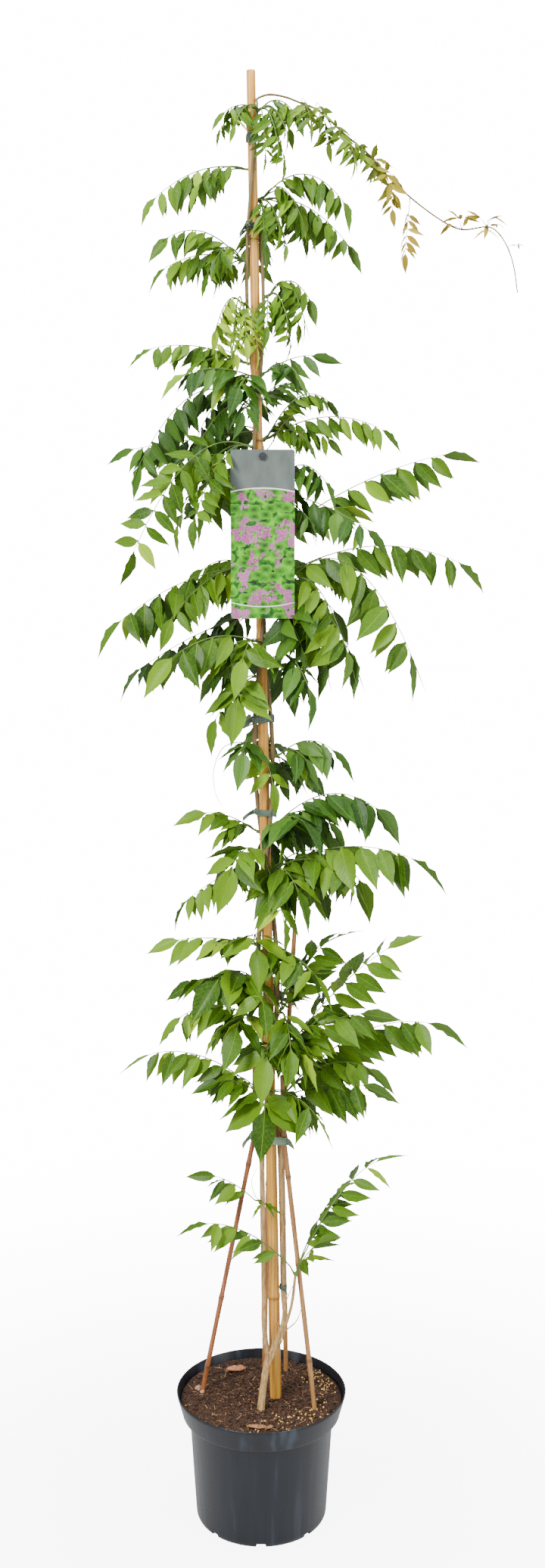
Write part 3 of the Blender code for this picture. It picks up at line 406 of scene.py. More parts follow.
dead_leaf = plain_scrap("dead_leaf", (0.270, 0.080, 0.034), (0.540, 0.240, 0.110), 260, 0.7)
dry_bark = plain_scrap("dry_bark", (0.150, 0.062, 0.026), (0.360, 0.190, 0.085), 320)
pale_stub = plain_scrap("pale_stub", (0.290, 0.140, 0.080), (0.500, 0.290, 0.180), 300)
dress(fallen_leaf("dead_leaf_back", (-0.040, 0.073), 0.030, 0.016, 8, 0.22), [dead_leaf], "soil")
dress(fallen_leaf("bark_flake", (-0.006, -0.092), 0.030, 0.010, -10, 0.30), [dry_bark], "soil")
dress(fallen_leaf("bark_flake_small", (0.012, -0.094), 0.013, 0.007, 30, 0.25), [dry_bark], "soil")
stub = bmesh.new()
lay_scrap(stub, random.Random(3), (-0.0965, 0.0215), (0.0062, 0.0050, 0.0040), 0)
lay_scrap(stub, random.Random(9), (-0.0900, 0.0105), (0.0044, 0.0038, 0.0030), 0)
bmesh.ops.subdivide_edges(stub, edges=stub.edges[:], cuts=2, smooth=0.6, use_grid_fill=True)
dress(object_from(stub, "pale_stubs"), [pale_stub], "soil", sharp=60)


# Main cane: a 2.1 m bamboo culm that stands on the floor of the pot and leans a little to
# the left. Each node has a raised ring with a pale sheath scar under it.

CANE_FOOT_X = 0.0252
CANE_LEAN = -0.0178
CANE_BOTTOM = 0.012
CANE_TOP = 2.100
CANE_FOOT_RADIUS = 0.0090
CANE_TOP_RADIUS = 0.0060
CANE_NODES = (0.347, 0.700, 1.045, 1.335, 1.610, 1.880)
CANE_NODE_BULGE = 0.0010
CANE_BORE_DEPTH = 0.015
CANE_TURN_STEPS = 36
CANE_RING_SPACING = 0.030


def cane_axis(height):
    return Vector((CANE_FOOT_X + CANE_LEAN * height, 0.0, height))


def cane_radius(height):
    share = height / CANE_TOP
    return CANE_FOOT_RADIUS * (1 - share) + CANE_TOP_RADIUS * share


def mark(mesh, name, values):
    """Store one number for each vertex, for a material to read."""
    layer = mesh.attributes.new(name, "FLOAT", "POINT")
    layer.data.foreach_set("value", values)


def main_cane():
    """The turned culm, with its node marks and a mark for the painted shade in its top bore, laid along the
    leaning axis.
    """
    bore = CANE_TOP_RADIUS * 0.45
    profile = [(0.0, CANE_TOP - CANE_BORE_DEPTH), (bore, CANE_TOP - CANE_BORE_DEPTH),
               (bore, CANE_TOP - 0.0004), (bore + 0.0004, CANE_TOP),
               (CANE_TOP_RADIUS - 0.0005, CANE_TOP), (CANE_TOP_RADIUS, CANE_TOP - 0.0005)]
    height = CANE_TOP - CANE_RING_SPACING
    while height > CANE_BOTTOM + CANE_RING_SPACING / 2:
        if min(abs(height - ring) for ring in CANE_NODES) > 0.016:
            profile.append((cane_radius(height), height))
        height -= CANE_RING_SPACING
    for ring in CANE_NODES:
        plain = cane_radius(ring)
        profile += [(plain, ring + 0.012), (plain + CANE_NODE_BULGE * 0.35, ring + 0.006),
                    (plain + CANE_NODE_BULGE * 0.95, ring + 0.0028),
                    (plain + CANE_NODE_BULGE, ring + 0.0018),
                    (plain + CANE_NODE_BULGE * 0.5, ring + 0.0006), (plain - 0.0003, ring),
                    (plain + CANE_NODE_BULGE * 0.35, ring - 0.0008),
                    (plain + CANE_NODE_BULGE * 0.30, ring - 0.0022), (plain, ring - 0.0050)]
    top = profile[:6]
    profile = top + sorted(profile[6:], key=lambda point: -point[1])
    profile += [(cane_radius(CANE_BOTTOM), CANE_BOTTOM), (0.0, CANE_BOTTOM)]
    bm = turned_shape(profile, CANE_TURN_STEPS)
    for vertex in bm.verts:
        place = Vector((vertex.co.x * 70, vertex.co.y * 70, vertex.co.z * 5))
        reach = Vector((vertex.co.x, vertex.co.y, 0.0))
        if reach.length > bore * 1.2:
            vertex.co += reach.normalized() * noise.noise(place) * 0.00022
        vertex.co += cane_axis(vertex.co.z) - Vector((0, 0, vertex.co.z))
    made = object_from(bm, "bamboo_cane")
    mark_nodes(made.data, CANE_NODES)
    # Mark the inside of the top bore, where painted shade goes.
    inside = [float((vertex.co - cane_axis(vertex.co.z)).xy.length < bore * 1.1
                    and vertex.co.z > CANE_TOP - CANE_BORE_DEPTH - 0.001)
              for vertex in made.data.vertices]
    mark(made.data, "bore", inside)
    return made


def mark_nodes(mesh, rings):
    """Mark each vertex 0 to 1 by how near it is to a node ring, brightest just below."""
    values = []
    for vertex in mesh.vertices:
        gap = min((vertex.co.z - ring for ring in rings), key=abs)
        values.append(math.exp(-((gap - 0.0004) / 0.0030) ** 2))
    mark(mesh, "ring", values)


def bamboo(name, dark, base, light, ring_colour, shaded_bore=False):
    """Dry bamboo skin: long fibres, blotches, darker node rings and a soft gloss, with painted shade inside
    the top bore when asked for.
    """
    material, tree, shader = shader_tree(name, 0.42)
    fibres = mottle(tree, (420, 420, 7), 4.0)
    blotches = mottle(tree, (40, 40, 9), 4.0)
    specks = mottle(tree, (300, 300, 90), 2.0)
    skin = colours(tree, fibres, ((0.25, dark), (0.50, base), (0.78, light)))
    skin = blend(tree, calc(tree, "MULTIPLY", colours(
        tree, blotches, ((0.46, (0, 0, 0)), (0.70, (1, 1, 1)))), 0.45), skin, (*dark, 1.0))
    skin = blend(tree, calc(tree, "MULTIPLY", colours(
        tree, specks, ((0.66, (0, 0, 0)), (0.74, (1, 1, 1)))), 0.5), skin, (*ring_colour, 1.0))
    ring = add_node(tree, "Attribute", {}, attribute_name="ring").outputs["Fac"]
    skin = blend(tree, calc(tree, "MULTIPLY", ring, 0.75), skin, (*ring_colour, 1.0))
    # Painted shade: the inside of the top bore is coloured dark brown.
    if shaded_bore:
        inside = add_node(tree, "Attribute", {}, attribute_name="bore").outputs["Fac"]
        skin = blend(tree, inside, skin, (0.040, 0.022, 0.010, 1.0))
    tree.links.new(skin, shader.inputs["Base Color"])
    tree.links.new(calc(tree, "MULTIPLY_ADD", fibres, 0.30, 0.28), shader.inputs["Roughness"])
    raise_bump(tree, shader, fibres, 0.00035, 0.5)
    return material


golden = bamboo("golden_bamboo", (0.370, 0.140, 0.014), (0.620, 0.290, 0.036), (0.800, 0.480, 0.090),
                (0.200, 0.075, 0.012), shaded_bore=True)
dress(main_cane(), [golden], "bamboo", "main_cane", sharp=60)


# Support canes: four pencil-thin bamboo sticks pushed into the mix near the wall and drawn
# in by one tie. The left one is redder than the rest.

THIN_CANE_RADIUS = 0.0037
THIN_CANE_DEPTH = 0.035
THIN_CANE_STEPS = 90
# A support cane: where it leaves the soil, where the tie holds it, and its cut top.
THIN_CANES = {
    "thin_cane_left": ((-0.090, 0.018, SOIL_TOP), (-0.010, 0.004, 0.600), (-0.009, 0.004, 0.735)),
    "thin_cane_right": ((0.080, -0.034, SOIL_TOP), (0.034, -0.017, 0.600), (0.031, -0.019, 0.700)),
    "thin_cane_back_right": ((0.038, 0.080, SOIL_TOP), (0.031, 0.021, 0.600), (0.050, 0.024, 0.915)),
    "thin_cane_back_left": ((0.004, 0.082, SOIL_TOP), (0.012, 0.027, 0.600), (0.012, 0.026, 1.064)),
}
# The nodes of each, as shares of the way from its foot to the tie.
THIN_CANE_RINGS = {
    "thin_cane_left": (0.17, 0.42, 0.66, 0.90), "thin_cane_right": (0.24, 0.58, 0.88),
    "thin_cane_back_right": (0.30, 0.66, 0.93), "thin_cane_back_left": (0.20, 0.50, 0.80)}


def stem_tube(name, paths, sides_level=3):
    """Closed round stems as one mesh. Each path is a list of places with a radius each."""
    data = bpy.data.curves.new(name, "CURVE")
    data.dimensions = "3D"
    data.bevel_depth = 1.0
    data.bevel_resolution = sides_level
    data.use_fill_caps = True
    for places, radii in paths:
        spline = data.splines.new("POLY")
        spline.points.add(len(places) - 1)
        for knot, place, radius in zip(spline.points, places, radii):
            knot.co = (*place, 1.0)
            knot.radius = radius
    made = bpy.data.objects.new(name, data)
    bpy.context.scene.collection.objects.link(made)
    return applied(made)


def support_cane(name):
    """A thin cane with knobbly nodes, straight to its tie and then up to its cut top."""
    surface, tie, top = (Vector(place) for place in THIN_CANES[name])
    foot = surface + (surface - tie).normalized() * THIN_CANE_DEPTH
    places, radii, rings = [foot], [THIN_CANE_RADIUS], []
    for step in range(1, THIN_CANE_STEPS + 1):
        share = step / THIN_CANE_STEPS
        place = foot.lerp(tie, share)
        swell = 0.0
        for ring in THIN_CANE_RINGS[name]:
            gap = (share - ring) * (tie - foot).length
            swell = max(swell, math.exp(-(gap / 0.0045) ** 2) * 0.22)
            if abs(gap) < 0.003:
                rings.append(place.z)
        places.append(place)
        radii.append(THIN_CANE_RADIUS * (0.97 + swell + 0.03 * math.sin(step * 0.4)))
    for share in (0.08, 0.5, 0.985, 1.0):
        places.append(tie.lerp(top, share))
        radii.append(THIN_CANE_RADIUS * (0.95 - 0.05 * share) * (0.8 if share == 1.0 else 1.0))
    made = stem_tube("support_" + name[5:], [(places, radii)])
    mark_nodes(made.data, rings)
    return made


reddish = bamboo("reddish_bamboo", (0.150, 0.042, 0.013), (0.290, 0.095, 0.030),
                 (0.420, 0.170, 0.060), (0.110, 0.034, 0.012))
tan = bamboo("tan_bamboo", (0.230, 0.092, 0.026), (0.370, 0.180, 0.056),
             (0.510, 0.290, 0.110), (0.105, 0.040, 0.014))
for cane_name in THIN_CANES:
    skin = reddish if cane_name == "thin_cane_left" else tan
    dress(support_cane(cane_name), [skin], "thin_bamboo", cane_name, sharp=60)


# Vine: a short woody trunk beside the cane that forks low down. Two strands twine up round
# the cane, and a green shoot and a few dead twigs leave the fork to the right.

TRUNK_FOOT = (-0.002, -0.042, 0.150)
TRUNK_COLLAR = (0.000, -0.039, 0.194)
TRUNK_RADIUS = 0.0056
FORK_HEIGHT = 0.262
STRAND_SETTLED = 0.352
STRAND_FOOT_RADIUS = 0.0042
STRAND_TOP_RADIUS = 0.0022
STRAND_TURN_HEIGHT = 0.640
STRAND_TWIST_START = 0.560
STRAND_START_ANGLE = 196.0
STRAND_TOP = 2.056
STRAND_STEP = 0.010
STRAND_CLEARANCE = 0.0014
SHOOT = ((0.006, -0.027, 0.238), (0.026, -0.032, 0.290), (0.044, -0.034, 0.345),
         (0.051, -0.036, 0.400))
SHOOT_RADIUS = 0.0024
TWIG_RADIUS = 0.0011
DEAD_TWIGS = (
    ((0.016, -0.030, 0.262), (0.027, -0.036, 0.300), (0.022, -0.040, 0.335)),
    ((0.020, -0.030, 0.272), (0.034, -0.026, 0.300), (0.037, -0.030, 0.352), (0.048, -0.036, 0.384)),
    ((0.036, -0.033, 0.320), (0.032, -0.040, 0.350), (0.036, -0.044, 0.372)),
    ((0.030, -0.033, 0.305), (0.052, -0.034, 0.325), (0.060, -0.038, 0.348)),
    ((0.012, -0.027, 0.252), (0.018, -0.020, 0.290), (0.027, -0.016, 0.318)))


def strand_angle(strand, height):
    """Direction of a climbing strand from the cane's axis, in degrees."""
    turn = max(0.0, height - STRAND_TWIST_START) / STRAND_TURN_HEIGHT * 360
    return STRAND_START_ANGLE + strand * 180 + turn


def strand_radius(height):
    share = (height - FORK_HEIGHT) / (STRAND_TOP - FORK_HEIGHT)
    return STRAND_FOOT_RADIUS * (1 - share) + STRAND_TOP_RADIUS * share


def strand_centre(strand, height):
    out = cane_radius(height) + CANE_NODE_BULGE + strand_radius(height) + STRAND_CLEARANCE
    return cane_axis(height) + heading(strand_angle(strand, height)) * out


def smooth_path(knots, steps):
    """Places on a smooth curve through the knots, with steps between each two."""
    knots = [Vector(knot) for knot in knots]
    ends = [2 * knots[0] - knots[1], *knots, 2 * knots[-1] - knots[-2]]
    path = []
    for before, first, second, after in zip(ends, ends[1:], ends[2:], ends[3:]):
        for step in range(steps):
            t = step / steps
            path.append(0.5 * (2 * first + (second - before) * t
                               + (2 * before - 5 * first + 4 * second - after) * t ** 2
                               + (3 * first - before - 3 * second + after) * t ** 3))
    path.append(knots[-1])
    return path


def strand_path(strand):
    """Places along a strand, from inside the top of the trunk to its end."""
    fork = cane_axis(FORK_HEIGHT) + Vector((-0.0100, -0.0205, 0.0))
    if strand == 0:
        start = [fork - Vector((0, 0, 0.006)), fork, cane_axis(0.300) + Vector((-0.0150, -0.0120, 0.0))]
    else:
        start = [fork - Vector((0, 0, 0.010)), fork - Vector((0, 0, 0.004)),
                 cane_axis(0.292) + Vector((0.0060, -0.0200, 0.0)),
                 cane_axis(0.322) + Vector((0.0160, -0.0100, 0.0))]
    settled = [strand_centre(strand, STRAND_SETTLED), strand_centre(strand, STRAND_SETTLED + STRAND_STEP)]
    path = smooth_path(start + settled, 6)[:-6]
    count = round((STRAND_TOP - STRAND_SETTLED) / STRAND_STEP)
    climb = (STRAND_TOP - STRAND_SETTLED) / count
    return path + [strand_centre(strand, STRAND_SETTLED + climb * step) for step in range(count + 1)]


def knobbly(path, radii, amount, seed):
    """Radii with small swellings, as bark and leaf scars make."""
    return [radius * (1 + amount * noise.noise(place * 60 + Vector((seed, 0, 0)))
                      + amount * 0.6 * noise.noise(place * 190 + Vector((0, seed, 0))))
            for place, radius in zip(path, radii)]


def woody_vine():
    """Trunk, strands, shoot and twigs, each a closed stem sunk into what it grows from."""
    fork = strand_path(0)[6]
    trunk = smooth_path([TRUNK_FOOT, TRUNK_COLLAR, Vector(TRUNK_COLLAR).lerp(fork, 0.5)
                         + Vector((-0.0008, 0, 0)), fork, fork + Vector((0, 0.0004, 0.009))], 7)
    trunk_radii = []
    for place in trunk:
        share = min(1.0, max(0.0, (place.z - 0.194) / 0.068))
        flare = 0.16 * math.exp(-max(0.0, place.z - 0.184) / 0.012)
        trunk_radii.append(TRUNK_RADIUS * (0.95 + flare - 0.03 * share))
    trunk_radii[-1] *= 0.55
    trunk_radii[-2] *= 0.75
    paths = [(trunk, knobbly(trunk, trunk_radii, 0.10, 3))]
    for strand in (0, 1):
        path = strand_path(strand)
        radii = [strand_radius(max(place.z, FORK_HEIGHT)) for place in path]
        radii[-1] *= 0.5
        paths.append((path, knobbly(path, radii, 0.09, 11 + strand)))
    shoot = smooth_path(SHOOT, 6)
    paths.append((shoot, [SHOOT_RADIUS * (1.1 - 0.25 * step / len(shoot)) for step in range(len(shoot))]))
    for twig in DEAD_TWIGS:
        path = smooth_path(twig, 5)
        slim = [TWIG_RADIUS * (1 - 0.62 * step / len(path)) for step in range(len(path))]
        paths.append((path, knobbly(path, slim, 0.25, 5)))
    return stem_tube("woody_vine", paths)


def vine_bark():
    """Tan flaking bark at the foot that turns thin, smooth and olive higher up."""
    material, tree, shader = shader_tree("vine_bark", 0.75)
    cracks = mottle(tree, (380, 380, 55), 5.0)
    flakes = mottle(tree, (90, 90, 30), 4.0)
    tan_skin = colours(tree, cracks, ((0.28, (0.160, 0.076, 0.020)), (0.50, (0.390, 0.225, 0.074)),
                                      (0.74, (0.600, 0.410, 0.180))))
    young_skin = colours(tree, cracks, ((0.28, (0.055, 0.034, 0.010)), (0.55, (0.125, 0.085, 0.025)),
                                        (0.78, (0.220, 0.170, 0.060))))
    height = add_node(tree, "SeparateXYZ", {0: add_node(tree, "TexCoord", {}).outputs["Object"]})
    climb = add_node(tree, "MapRange", {"Value": height.outputs["Z"], "From Min": 0.45,
                                        "From Max": 0.95}).outputs[0]
    skin = blend(tree, climb, tan_skin, young_skin)
    skin = blend(tree, calc(tree, "MULTIPLY", flakes, 0.30), skin, (0.500, 0.350, 0.160, 1.0))
    tree.links.new(skin, shader.inputs["Base Color"])
    raise_bump(tree, shader, cracks, 0.0008, 0.8)
    return material


dress(woody_vine(), [vine_bark()], "bark", "vine", sharp=60)


# Tendrils: a few wiry young stems that have missed the cane and curl free beside it. Each
# is given by its strand, the height of its root, its radius and its bends from the root.

TENDRILS = (
    (0, 1.180, 0.0008, ((-0.020, -0.012, 0.010), (-0.045, -0.016, 0.002), (-0.058, -0.014, -0.030),
                        (-0.056, -0.012, -0.062), (-0.046, -0.014, -0.082))),
    (1, 1.580, 0.0008, ((0.022, -0.006, 0.020), (0.042, -0.010, 0.052), (0.062, -0.014, 0.064),
                        (0.074, -0.012, 0.050), (0.060, -0.010, 0.030))),
    (1, 0.840, 0.0008, ((0.018, -0.012, 0.020), (0.026, -0.014, 0.050), (0.018, -0.010, 0.074))),
    (0, 0.500, 0.0007, ((-0.010, -0.016, 0.014), (-0.016, -0.020, 0.040), (-0.008, -0.018, 0.060))))


def tendrils():
    paths = []
    for strand, height, radius, bends in TENDRILS:
        root = strand_centre(strand, height)
        path = smooth_path([root, *(root + Vector(bend) for bend in bends)], 7)
        paths.append((path, [radius * (1.15 - 0.75 * step / len(path)) for step in range(len(path))]))
    return stem_tube("tendrils", paths, 2)


def young_stem(name, low, high):
    """Smooth green stem with a paler flush."""
    material, tree, shader = shader_tree(name, 0.45)
    tree.links.new(colours(tree, mottle(tree, (90, 90, 40), 3.0), ((0.3, low), (0.7, high))),
                   shader.inputs["Base Color"])
    raise_bump(tree, shader, mottle(tree, (500, 500, 90), 3.0), 0.0002, 0.4)
    return material


stem_green = young_stem("stem_green", (0.045, 0.105, 0.012), (0.120, 0.200, 0.030))
stem_bronze = young_stem("stem_bronze", (0.075, 0.050, 0.014), (0.170, 0.120, 0.034))
dress(tendrils(), [stem_bronze], "bark", sharp=60)


# Ties: soft plastic tape wound round the cane and both strands and knotted. One gathers the
# support canes too, the lowest holds one strand, and one is a wider blue-green clip.

TIE_THICKNESS = 0.0012
TIE_CLEARANCE = 0.0010
TIE_CORNERS = 60
TIE_ROWS = 5
# A tie: its height, its width and its slot.
TIES = {
    "tie_top": (2.014, 0.009, "tie_tape"),
    "tie_upper": (1.897, 0.009, "tie_tape"),
    "tie_shoulder": (1.681, 0.012, "tie_black"),
    "tie_waist": (1.222, 0.010, "tie_tape"),
    "tie_low_waist": (1.087, 0.009, "tie_tape"),
    "tie_clip": (0.960, 0.018, "tie_teal"),
    "tie_gather": (0.600, 0.012, "tie_tape"),
    "tie_low": (0.362, 0.007, "tie_tape"),
}
# The loose ends of each tie: the way an end points, its length and its lift in degrees.
TIE_TAILS = {
    "tie_top": ((250, 0.020, -25), (285, 0.016, 30)),
    "tie_upper": ((235, 0.018, -30), (275, 0.014, 20)),
    "tie_shoulder": ((262, 0.010, 10),),
    "tie_waist": ((215, 0.016, -15),),
    "tie_low_waist": ((205, 0.020, -10), (300, 0.012, 15)),
    "tie_clip": ((262, 0.016, -35),),
    "tie_gather": ((212, 0.017, -28), (330, 0.012, -20)),
    "tie_low": ((290, 0.014, 5),)}


def belt_outline(circles, spare, count):
    """Corners of a band pulled round a few circles, each given as centre and radius."""
    corners = []
    for number in range(count):
        way = heading(number * 360 / count)
        centre, radius = max(circles, key=lambda circle: circle[0].dot(way) + circle[1])
        corners.append(centre + way * (radius + spare))
    return corners


def held_circles(height, width, with_thin_canes):
    """What a band pulls together, over the width of the band."""
    circles = []
    for level in (height - width / 2, height + width / 2):
        circles.append((cane_axis(level), cane_radius(level)))
        circles += [(strand_centre(strand, level), strand_radius(level)) for strand in (0, 1)]
    if with_thin_canes:
        circles += [(Vector(tie), THIN_CANE_RADIUS * 1.1) for _, tie, _ in THIN_CANES.values()]
    return circles


def tape_tail(bm, root, way, length, width, droop):
    """A loose tape end: a strip grid that leaves the knot and bends down."""
    made = bmesh.ops.create_grid(bm, x_segments=8, y_segments=2, size=1.0)["verts"]
    aside = Vector((0, 0, 1)).cross(way)
    lift = math.radians(droop)
    for vertex in made:
        along, across = (vertex.co.x + 1) / 2, vertex.co.y
        sag = -0.35 * length * along ** 2
        vertex.co = (root + way * (length * along * math.cos(lift))
                     + Vector((0, 0, length * along * math.sin(lift) + sag))
                     + Vector((0, 0, across * width * 0.5 * (1 - 0.25 * along)))
                     + aside * (0.0012 * math.sin(5 * along) * across))


def tape_tie(name):
    """A band with slightly rolled edges, a knot and its tails."""
    height, width, _ = TIES[name]
    if name == "tie_low":
        circles = [(strand_centre(1, height), strand_radius(height))]
    else:
        circles = held_circles(height, width, name == "tie_gather")
    bm = bmesh.new()
    loops = []
    for row in range(TIE_ROWS):
        share = row / (TIE_ROWS - 1) * 2 - 1
        roll = 0.0004 * share * share
        loop = []
        for number, corner in enumerate(belt_outline(circles, TIE_CLEARANCE - roll, TIE_CORNERS)):
            wave = 0.0006 * math.sin(number * 0.55 + height * 50) * (0.4 + 0.6 * abs(share))
            loop.append(bm.verts.new((corner.x, corner.y, height + share * width / 2 + wave)))
        loops.append([bm.edges.new((loop[number - 1], loop[number])) for number in range(TIE_CORNERS)])
    for low, high in zip(loops, loops[1:]):
        bmesh.ops.bridge_loops(bm, edges=low + high)
    bmesh.ops.recalc_face_normals(bm, faces=bm.faces[:])
    outline = belt_outline(circles, TIE_CLEARANCE + TIE_THICKNESS * 0.5, 72)
    middle = sum(outline, Vector()) / len(outline)
    for angle, length, droop in TIE_TAILS[name]:
        way = heading(angle)
        root = max(outline, key=lambda corner: (corner - middle).dot(way))
        tape_tail(bm, Vector((root.x, root.y, height)), way, length, width * 0.8, droop)
    band = object_from(bm, name + "_tape")
    solid = band.modifiers.new("thickness", "SOLIDIFY")
    solid.thickness = TIE_THICKNESS * 0.7
    solid.offset = 1.0
    band = applied(band)
    knot = bmesh.new()
    knot.from_mesh(band.data)
    angle, _, _ = TIE_TAILS[name][0]
    root = max(outline, key=lambda corner: (corner - middle).dot(heading(angle)))
    lump = bmesh.ops.create_icosphere(knot, subdivisions=3, radius=1.0)["verts"]
    bmesh.ops.scale(knot, verts=lump, vec=(0.0034, 0.0030, width * 0.42))
    for vertex in lump:
        vertex.co *= 1 + 0.16 * noise.noise(vertex.co * 700)
    bmesh.ops.translate(knot, verts=lump, vec=(root.x, root.y, height))
    knot.to_mesh(band.data)
    knot.free()
    return band


def tape(name, colour, worn, roughness):
    """Soft plastic with stretch lines and scuffed edges."""
    material, tree, shader = shader_tree(name, roughness)
    lines = mottle(tree, (120, 120, 900), 3.0)
    tree.links.new(colours(tree, lines, ((0.35, colour), (0.75, worn))), shader.inputs["Base Color"])
    raise_bump(tree, shader, lines, 0.0003, 0.5)
    return material


TAPES = {
    "tie_tape": tape("grey_green_tape", (0.045, 0.080, 0.055), (0.120, 0.165, 0.125), 0.42),
    "tie_black": tape("black_tape", (0.012, 0.013, 0.015), (0.045, 0.046, 0.050), 0.38),
    "tie_gather": tape("pale_green_tape", (0.120, 0.190, 0.115), (0.260, 0.340, 0.235), 0.42),
    "tie_teal": tape("teal_clip", (0.006, 0.190, 0.150), (0.035, 0.360, 0.290), 0.35)}
for tie_name, (_, _, tape_slot) in TIES.items():
    dress(tape_tie(tie_name), [TAPES.get(tie_name, TAPES[tape_slot])], tape_slot, tie_name, sharp=50)


# Hang tag: a glossy printed plastic card, punched near its top, on a black peg that a band
# holds to the cane. Its picture is a plain pattern of round pink blossoms among leaves.

TAG_CENTRE_X = 0.0035
TAG_HEADER_FOOT = 1.545
TAG_LOW_CURVE = 1.3835


def smooth_mask(tree, value, low, high):
    """0 below low and 1 above high, with a soft step between."""
    made = add_node(tree, "MapRange", {"Value": value, "From Min": low, "From Max": high})
    made.interpolation_type = "SMOOTHSTEP"
    return made.outputs[0]


def blossom_layer(tree, flat, size, seed, petals, share):
    """A mask of round many-petalled blossoms, one in each cell of a loose lattice."""
    place = add_node(tree, "Mapping", {"Vector": flat, "Scale": (size, size, size),
                                       "Location": (seed, seed * 0.7, 0)}).outputs[0]
    cells = add_node(tree, "TexVoronoi", {"Vector": place, "Scale": 1.0, "Randomness": 0.75},
                     voronoi_dimensions="2D")
    arm = add_node(tree, "VectorMath", {0: place, 1: cells.outputs["Position"]}, operation="SUBTRACT")
    parts = add_node(tree, "SeparateXYZ", {0: arm.outputs[0]})
    angle = calc(tree, "ARCTAN2", parts.outputs["Y"], parts.outputs["X"])
    lobes = calc(tree, "ABSOLUTE", calc(tree, "COSINE", calc(tree, "MULTIPLY", angle, petals / 2)))
    reach = calc(tree, "MULTIPLY_ADD", lobes, share * 0.42, share * 0.58)
    gap = calc(tree, "SUBTRACT", reach, cells.outputs["Distance"])
    shade = calc(tree, "DIVIDE", cells.outputs["Distance"], reach)
    return smooth_mask(tree, gap, 0.0, 0.03), shade, cells.outputs["Color"]


def tag_card():
    """Printed card: grey header, thin white curves, and blossoms on green."""
    material, tree, shader = shader_tree("printed_card", 0.38)
    place = add_node(tree, "TexCoord", {}).outputs["Object"]
    parts = add_node(tree, "SeparateXYZ", {0: place})
    across = calc(tree, "SUBTRACT", parts.outputs["X"], TAG_CENTRE_X)
    height = parts.outputs["Z"]
    flat = add_node(tree, "CombineXYZ", {"X": across, "Y": height}).outputs[0]
    leaf_mask, leaf_shade, leaf_tint = blossom_layer(tree, flat, 62, 3.1, 2, 0.62)
    green = colours(tree, mottle(tree, (90, 1, 90), 4.0), (
        (0.36, (0.001, 0.018, 0.001)), (0.50, (0.014, 0.130, 0.002)), (0.62, (0.120, 0.480, 0.004))))
    leafy = colours(tree, leaf_shade, ((0.05, (0.003, 0.045, 0.001)), (0.9, (0.090, 0.400, 0.004))))
    print_colour = blend(tree, calc(tree, "MULTIPLY", leaf_mask, 0.8), green, leafy)
    tint = add_node(tree, "SeparateColor", {0: leaf_tint}).outputs[0]
    clumps = mottle(tree, (34, 1, 34), 2.0)
    clumped = smooth_mask(tree, clumps, 0.50, 0.56)
    for size, seed, share in ((72, 1.7, 0.52), (105, 5.3, 0.50)):
        bloom, shade, _ = blossom_layer(tree, flat, size, seed, 5, share)
        petal = colours(tree, shade, (
            (0.0, (0.560, 0.300, 0.030)), (0.18, (0.420, 0.060, 0.210)),
            (0.60, (0.220, 0.030, 0.170)), (1.0, (0.520, 0.180, 0.390))))
        pale = blend(tree, calc(tree, "MULTIPLY", tint, 0.5), petal, (0.480, 0.230, 0.380, 1.0))
        print_colour = blend(tree, calc(tree, "MULTIPLY", bloom, clumped), print_colour, pale)
    arch = calc(tree, "MULTIPLY_ADD", calc(tree, "MULTIPLY", across, across), -2.6, 0.0)
    header_line = calc(tree, "ADD", arch, TAG_HEADER_FOOT)
    above = calc(tree, "SUBTRACT", height, header_line)
    header = colours(tree, mottle(tree, (60, 1, 30), 2.0), (
        (0.3, (0.085, 0.105, 0.095)), (0.7, (0.125, 0.150, 0.138))))
    print_colour = blend(tree, smooth_mask(tree, above, 0.0, 0.0006), print_colour, header)
    line = calc(tree, "SUBTRACT", 1.0, smooth_mask(tree, calc(tree, "ABSOLUTE", above), 0.0006, 0.0011))
    low_curve = calc(tree, "MULTIPLY_ADD", calc(tree, "MULTIPLY", across, across), 3.0, TAG_LOW_CURVE)
    low_gap = calc(tree, "ABSOLUTE", calc(tree, "SUBTRACT", height, low_curve))
    low_line = calc(tree, "SUBTRACT", 1.0, smooth_mask(tree, low_gap, 0.0004, 0.0009))
    lines = calc(tree, "MAXIMUM", line, low_line)
    print_colour = blend(tree, calc(tree, "MULTIPLY", lines, 0.9), print_colour, (0.900, 0.920, 0.880, 1.0))
    facing = add_node(tree, "SeparateXYZ", {0: add_node(tree, "NewGeometry", {}).outputs["Normal"]})
    front = smooth_mask(tree, calc(tree, "MULTIPLY", facing.outputs["Y"], -1.0), 0.3, 0.6)
    back = colours(tree, mottle(tree, (40, 40, 40), 3.0), (
        (0.3, (0.560, 0.580, 0.540)), (0.7, (0.660, 0.680, 0.640))))
    tree.links.new(blend(tree, front, back, print_colour), shader.inputs["Base Color"])
    raise_bump(tree, shader, mottle(tree, (35, 35, 35), 2.0), 0.0008, 0.25)
    return material


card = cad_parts["hang_tag"]
card.data.materials.clear()
card.data.materials.append(tag_card())
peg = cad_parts["tag_clip"]
peg.data.materials.clear()
peg.data.materials.append(TAPES["tie_black"])


# Leaves: each spray is a bud on the vine with its pinnate leaves, a slim green midrib with
# pairs of thin ovate leaflets that narrow to short stalks and one at the end. The leaflets
# hang a little, fold along their middle and have gently waved edges and a drip tip.

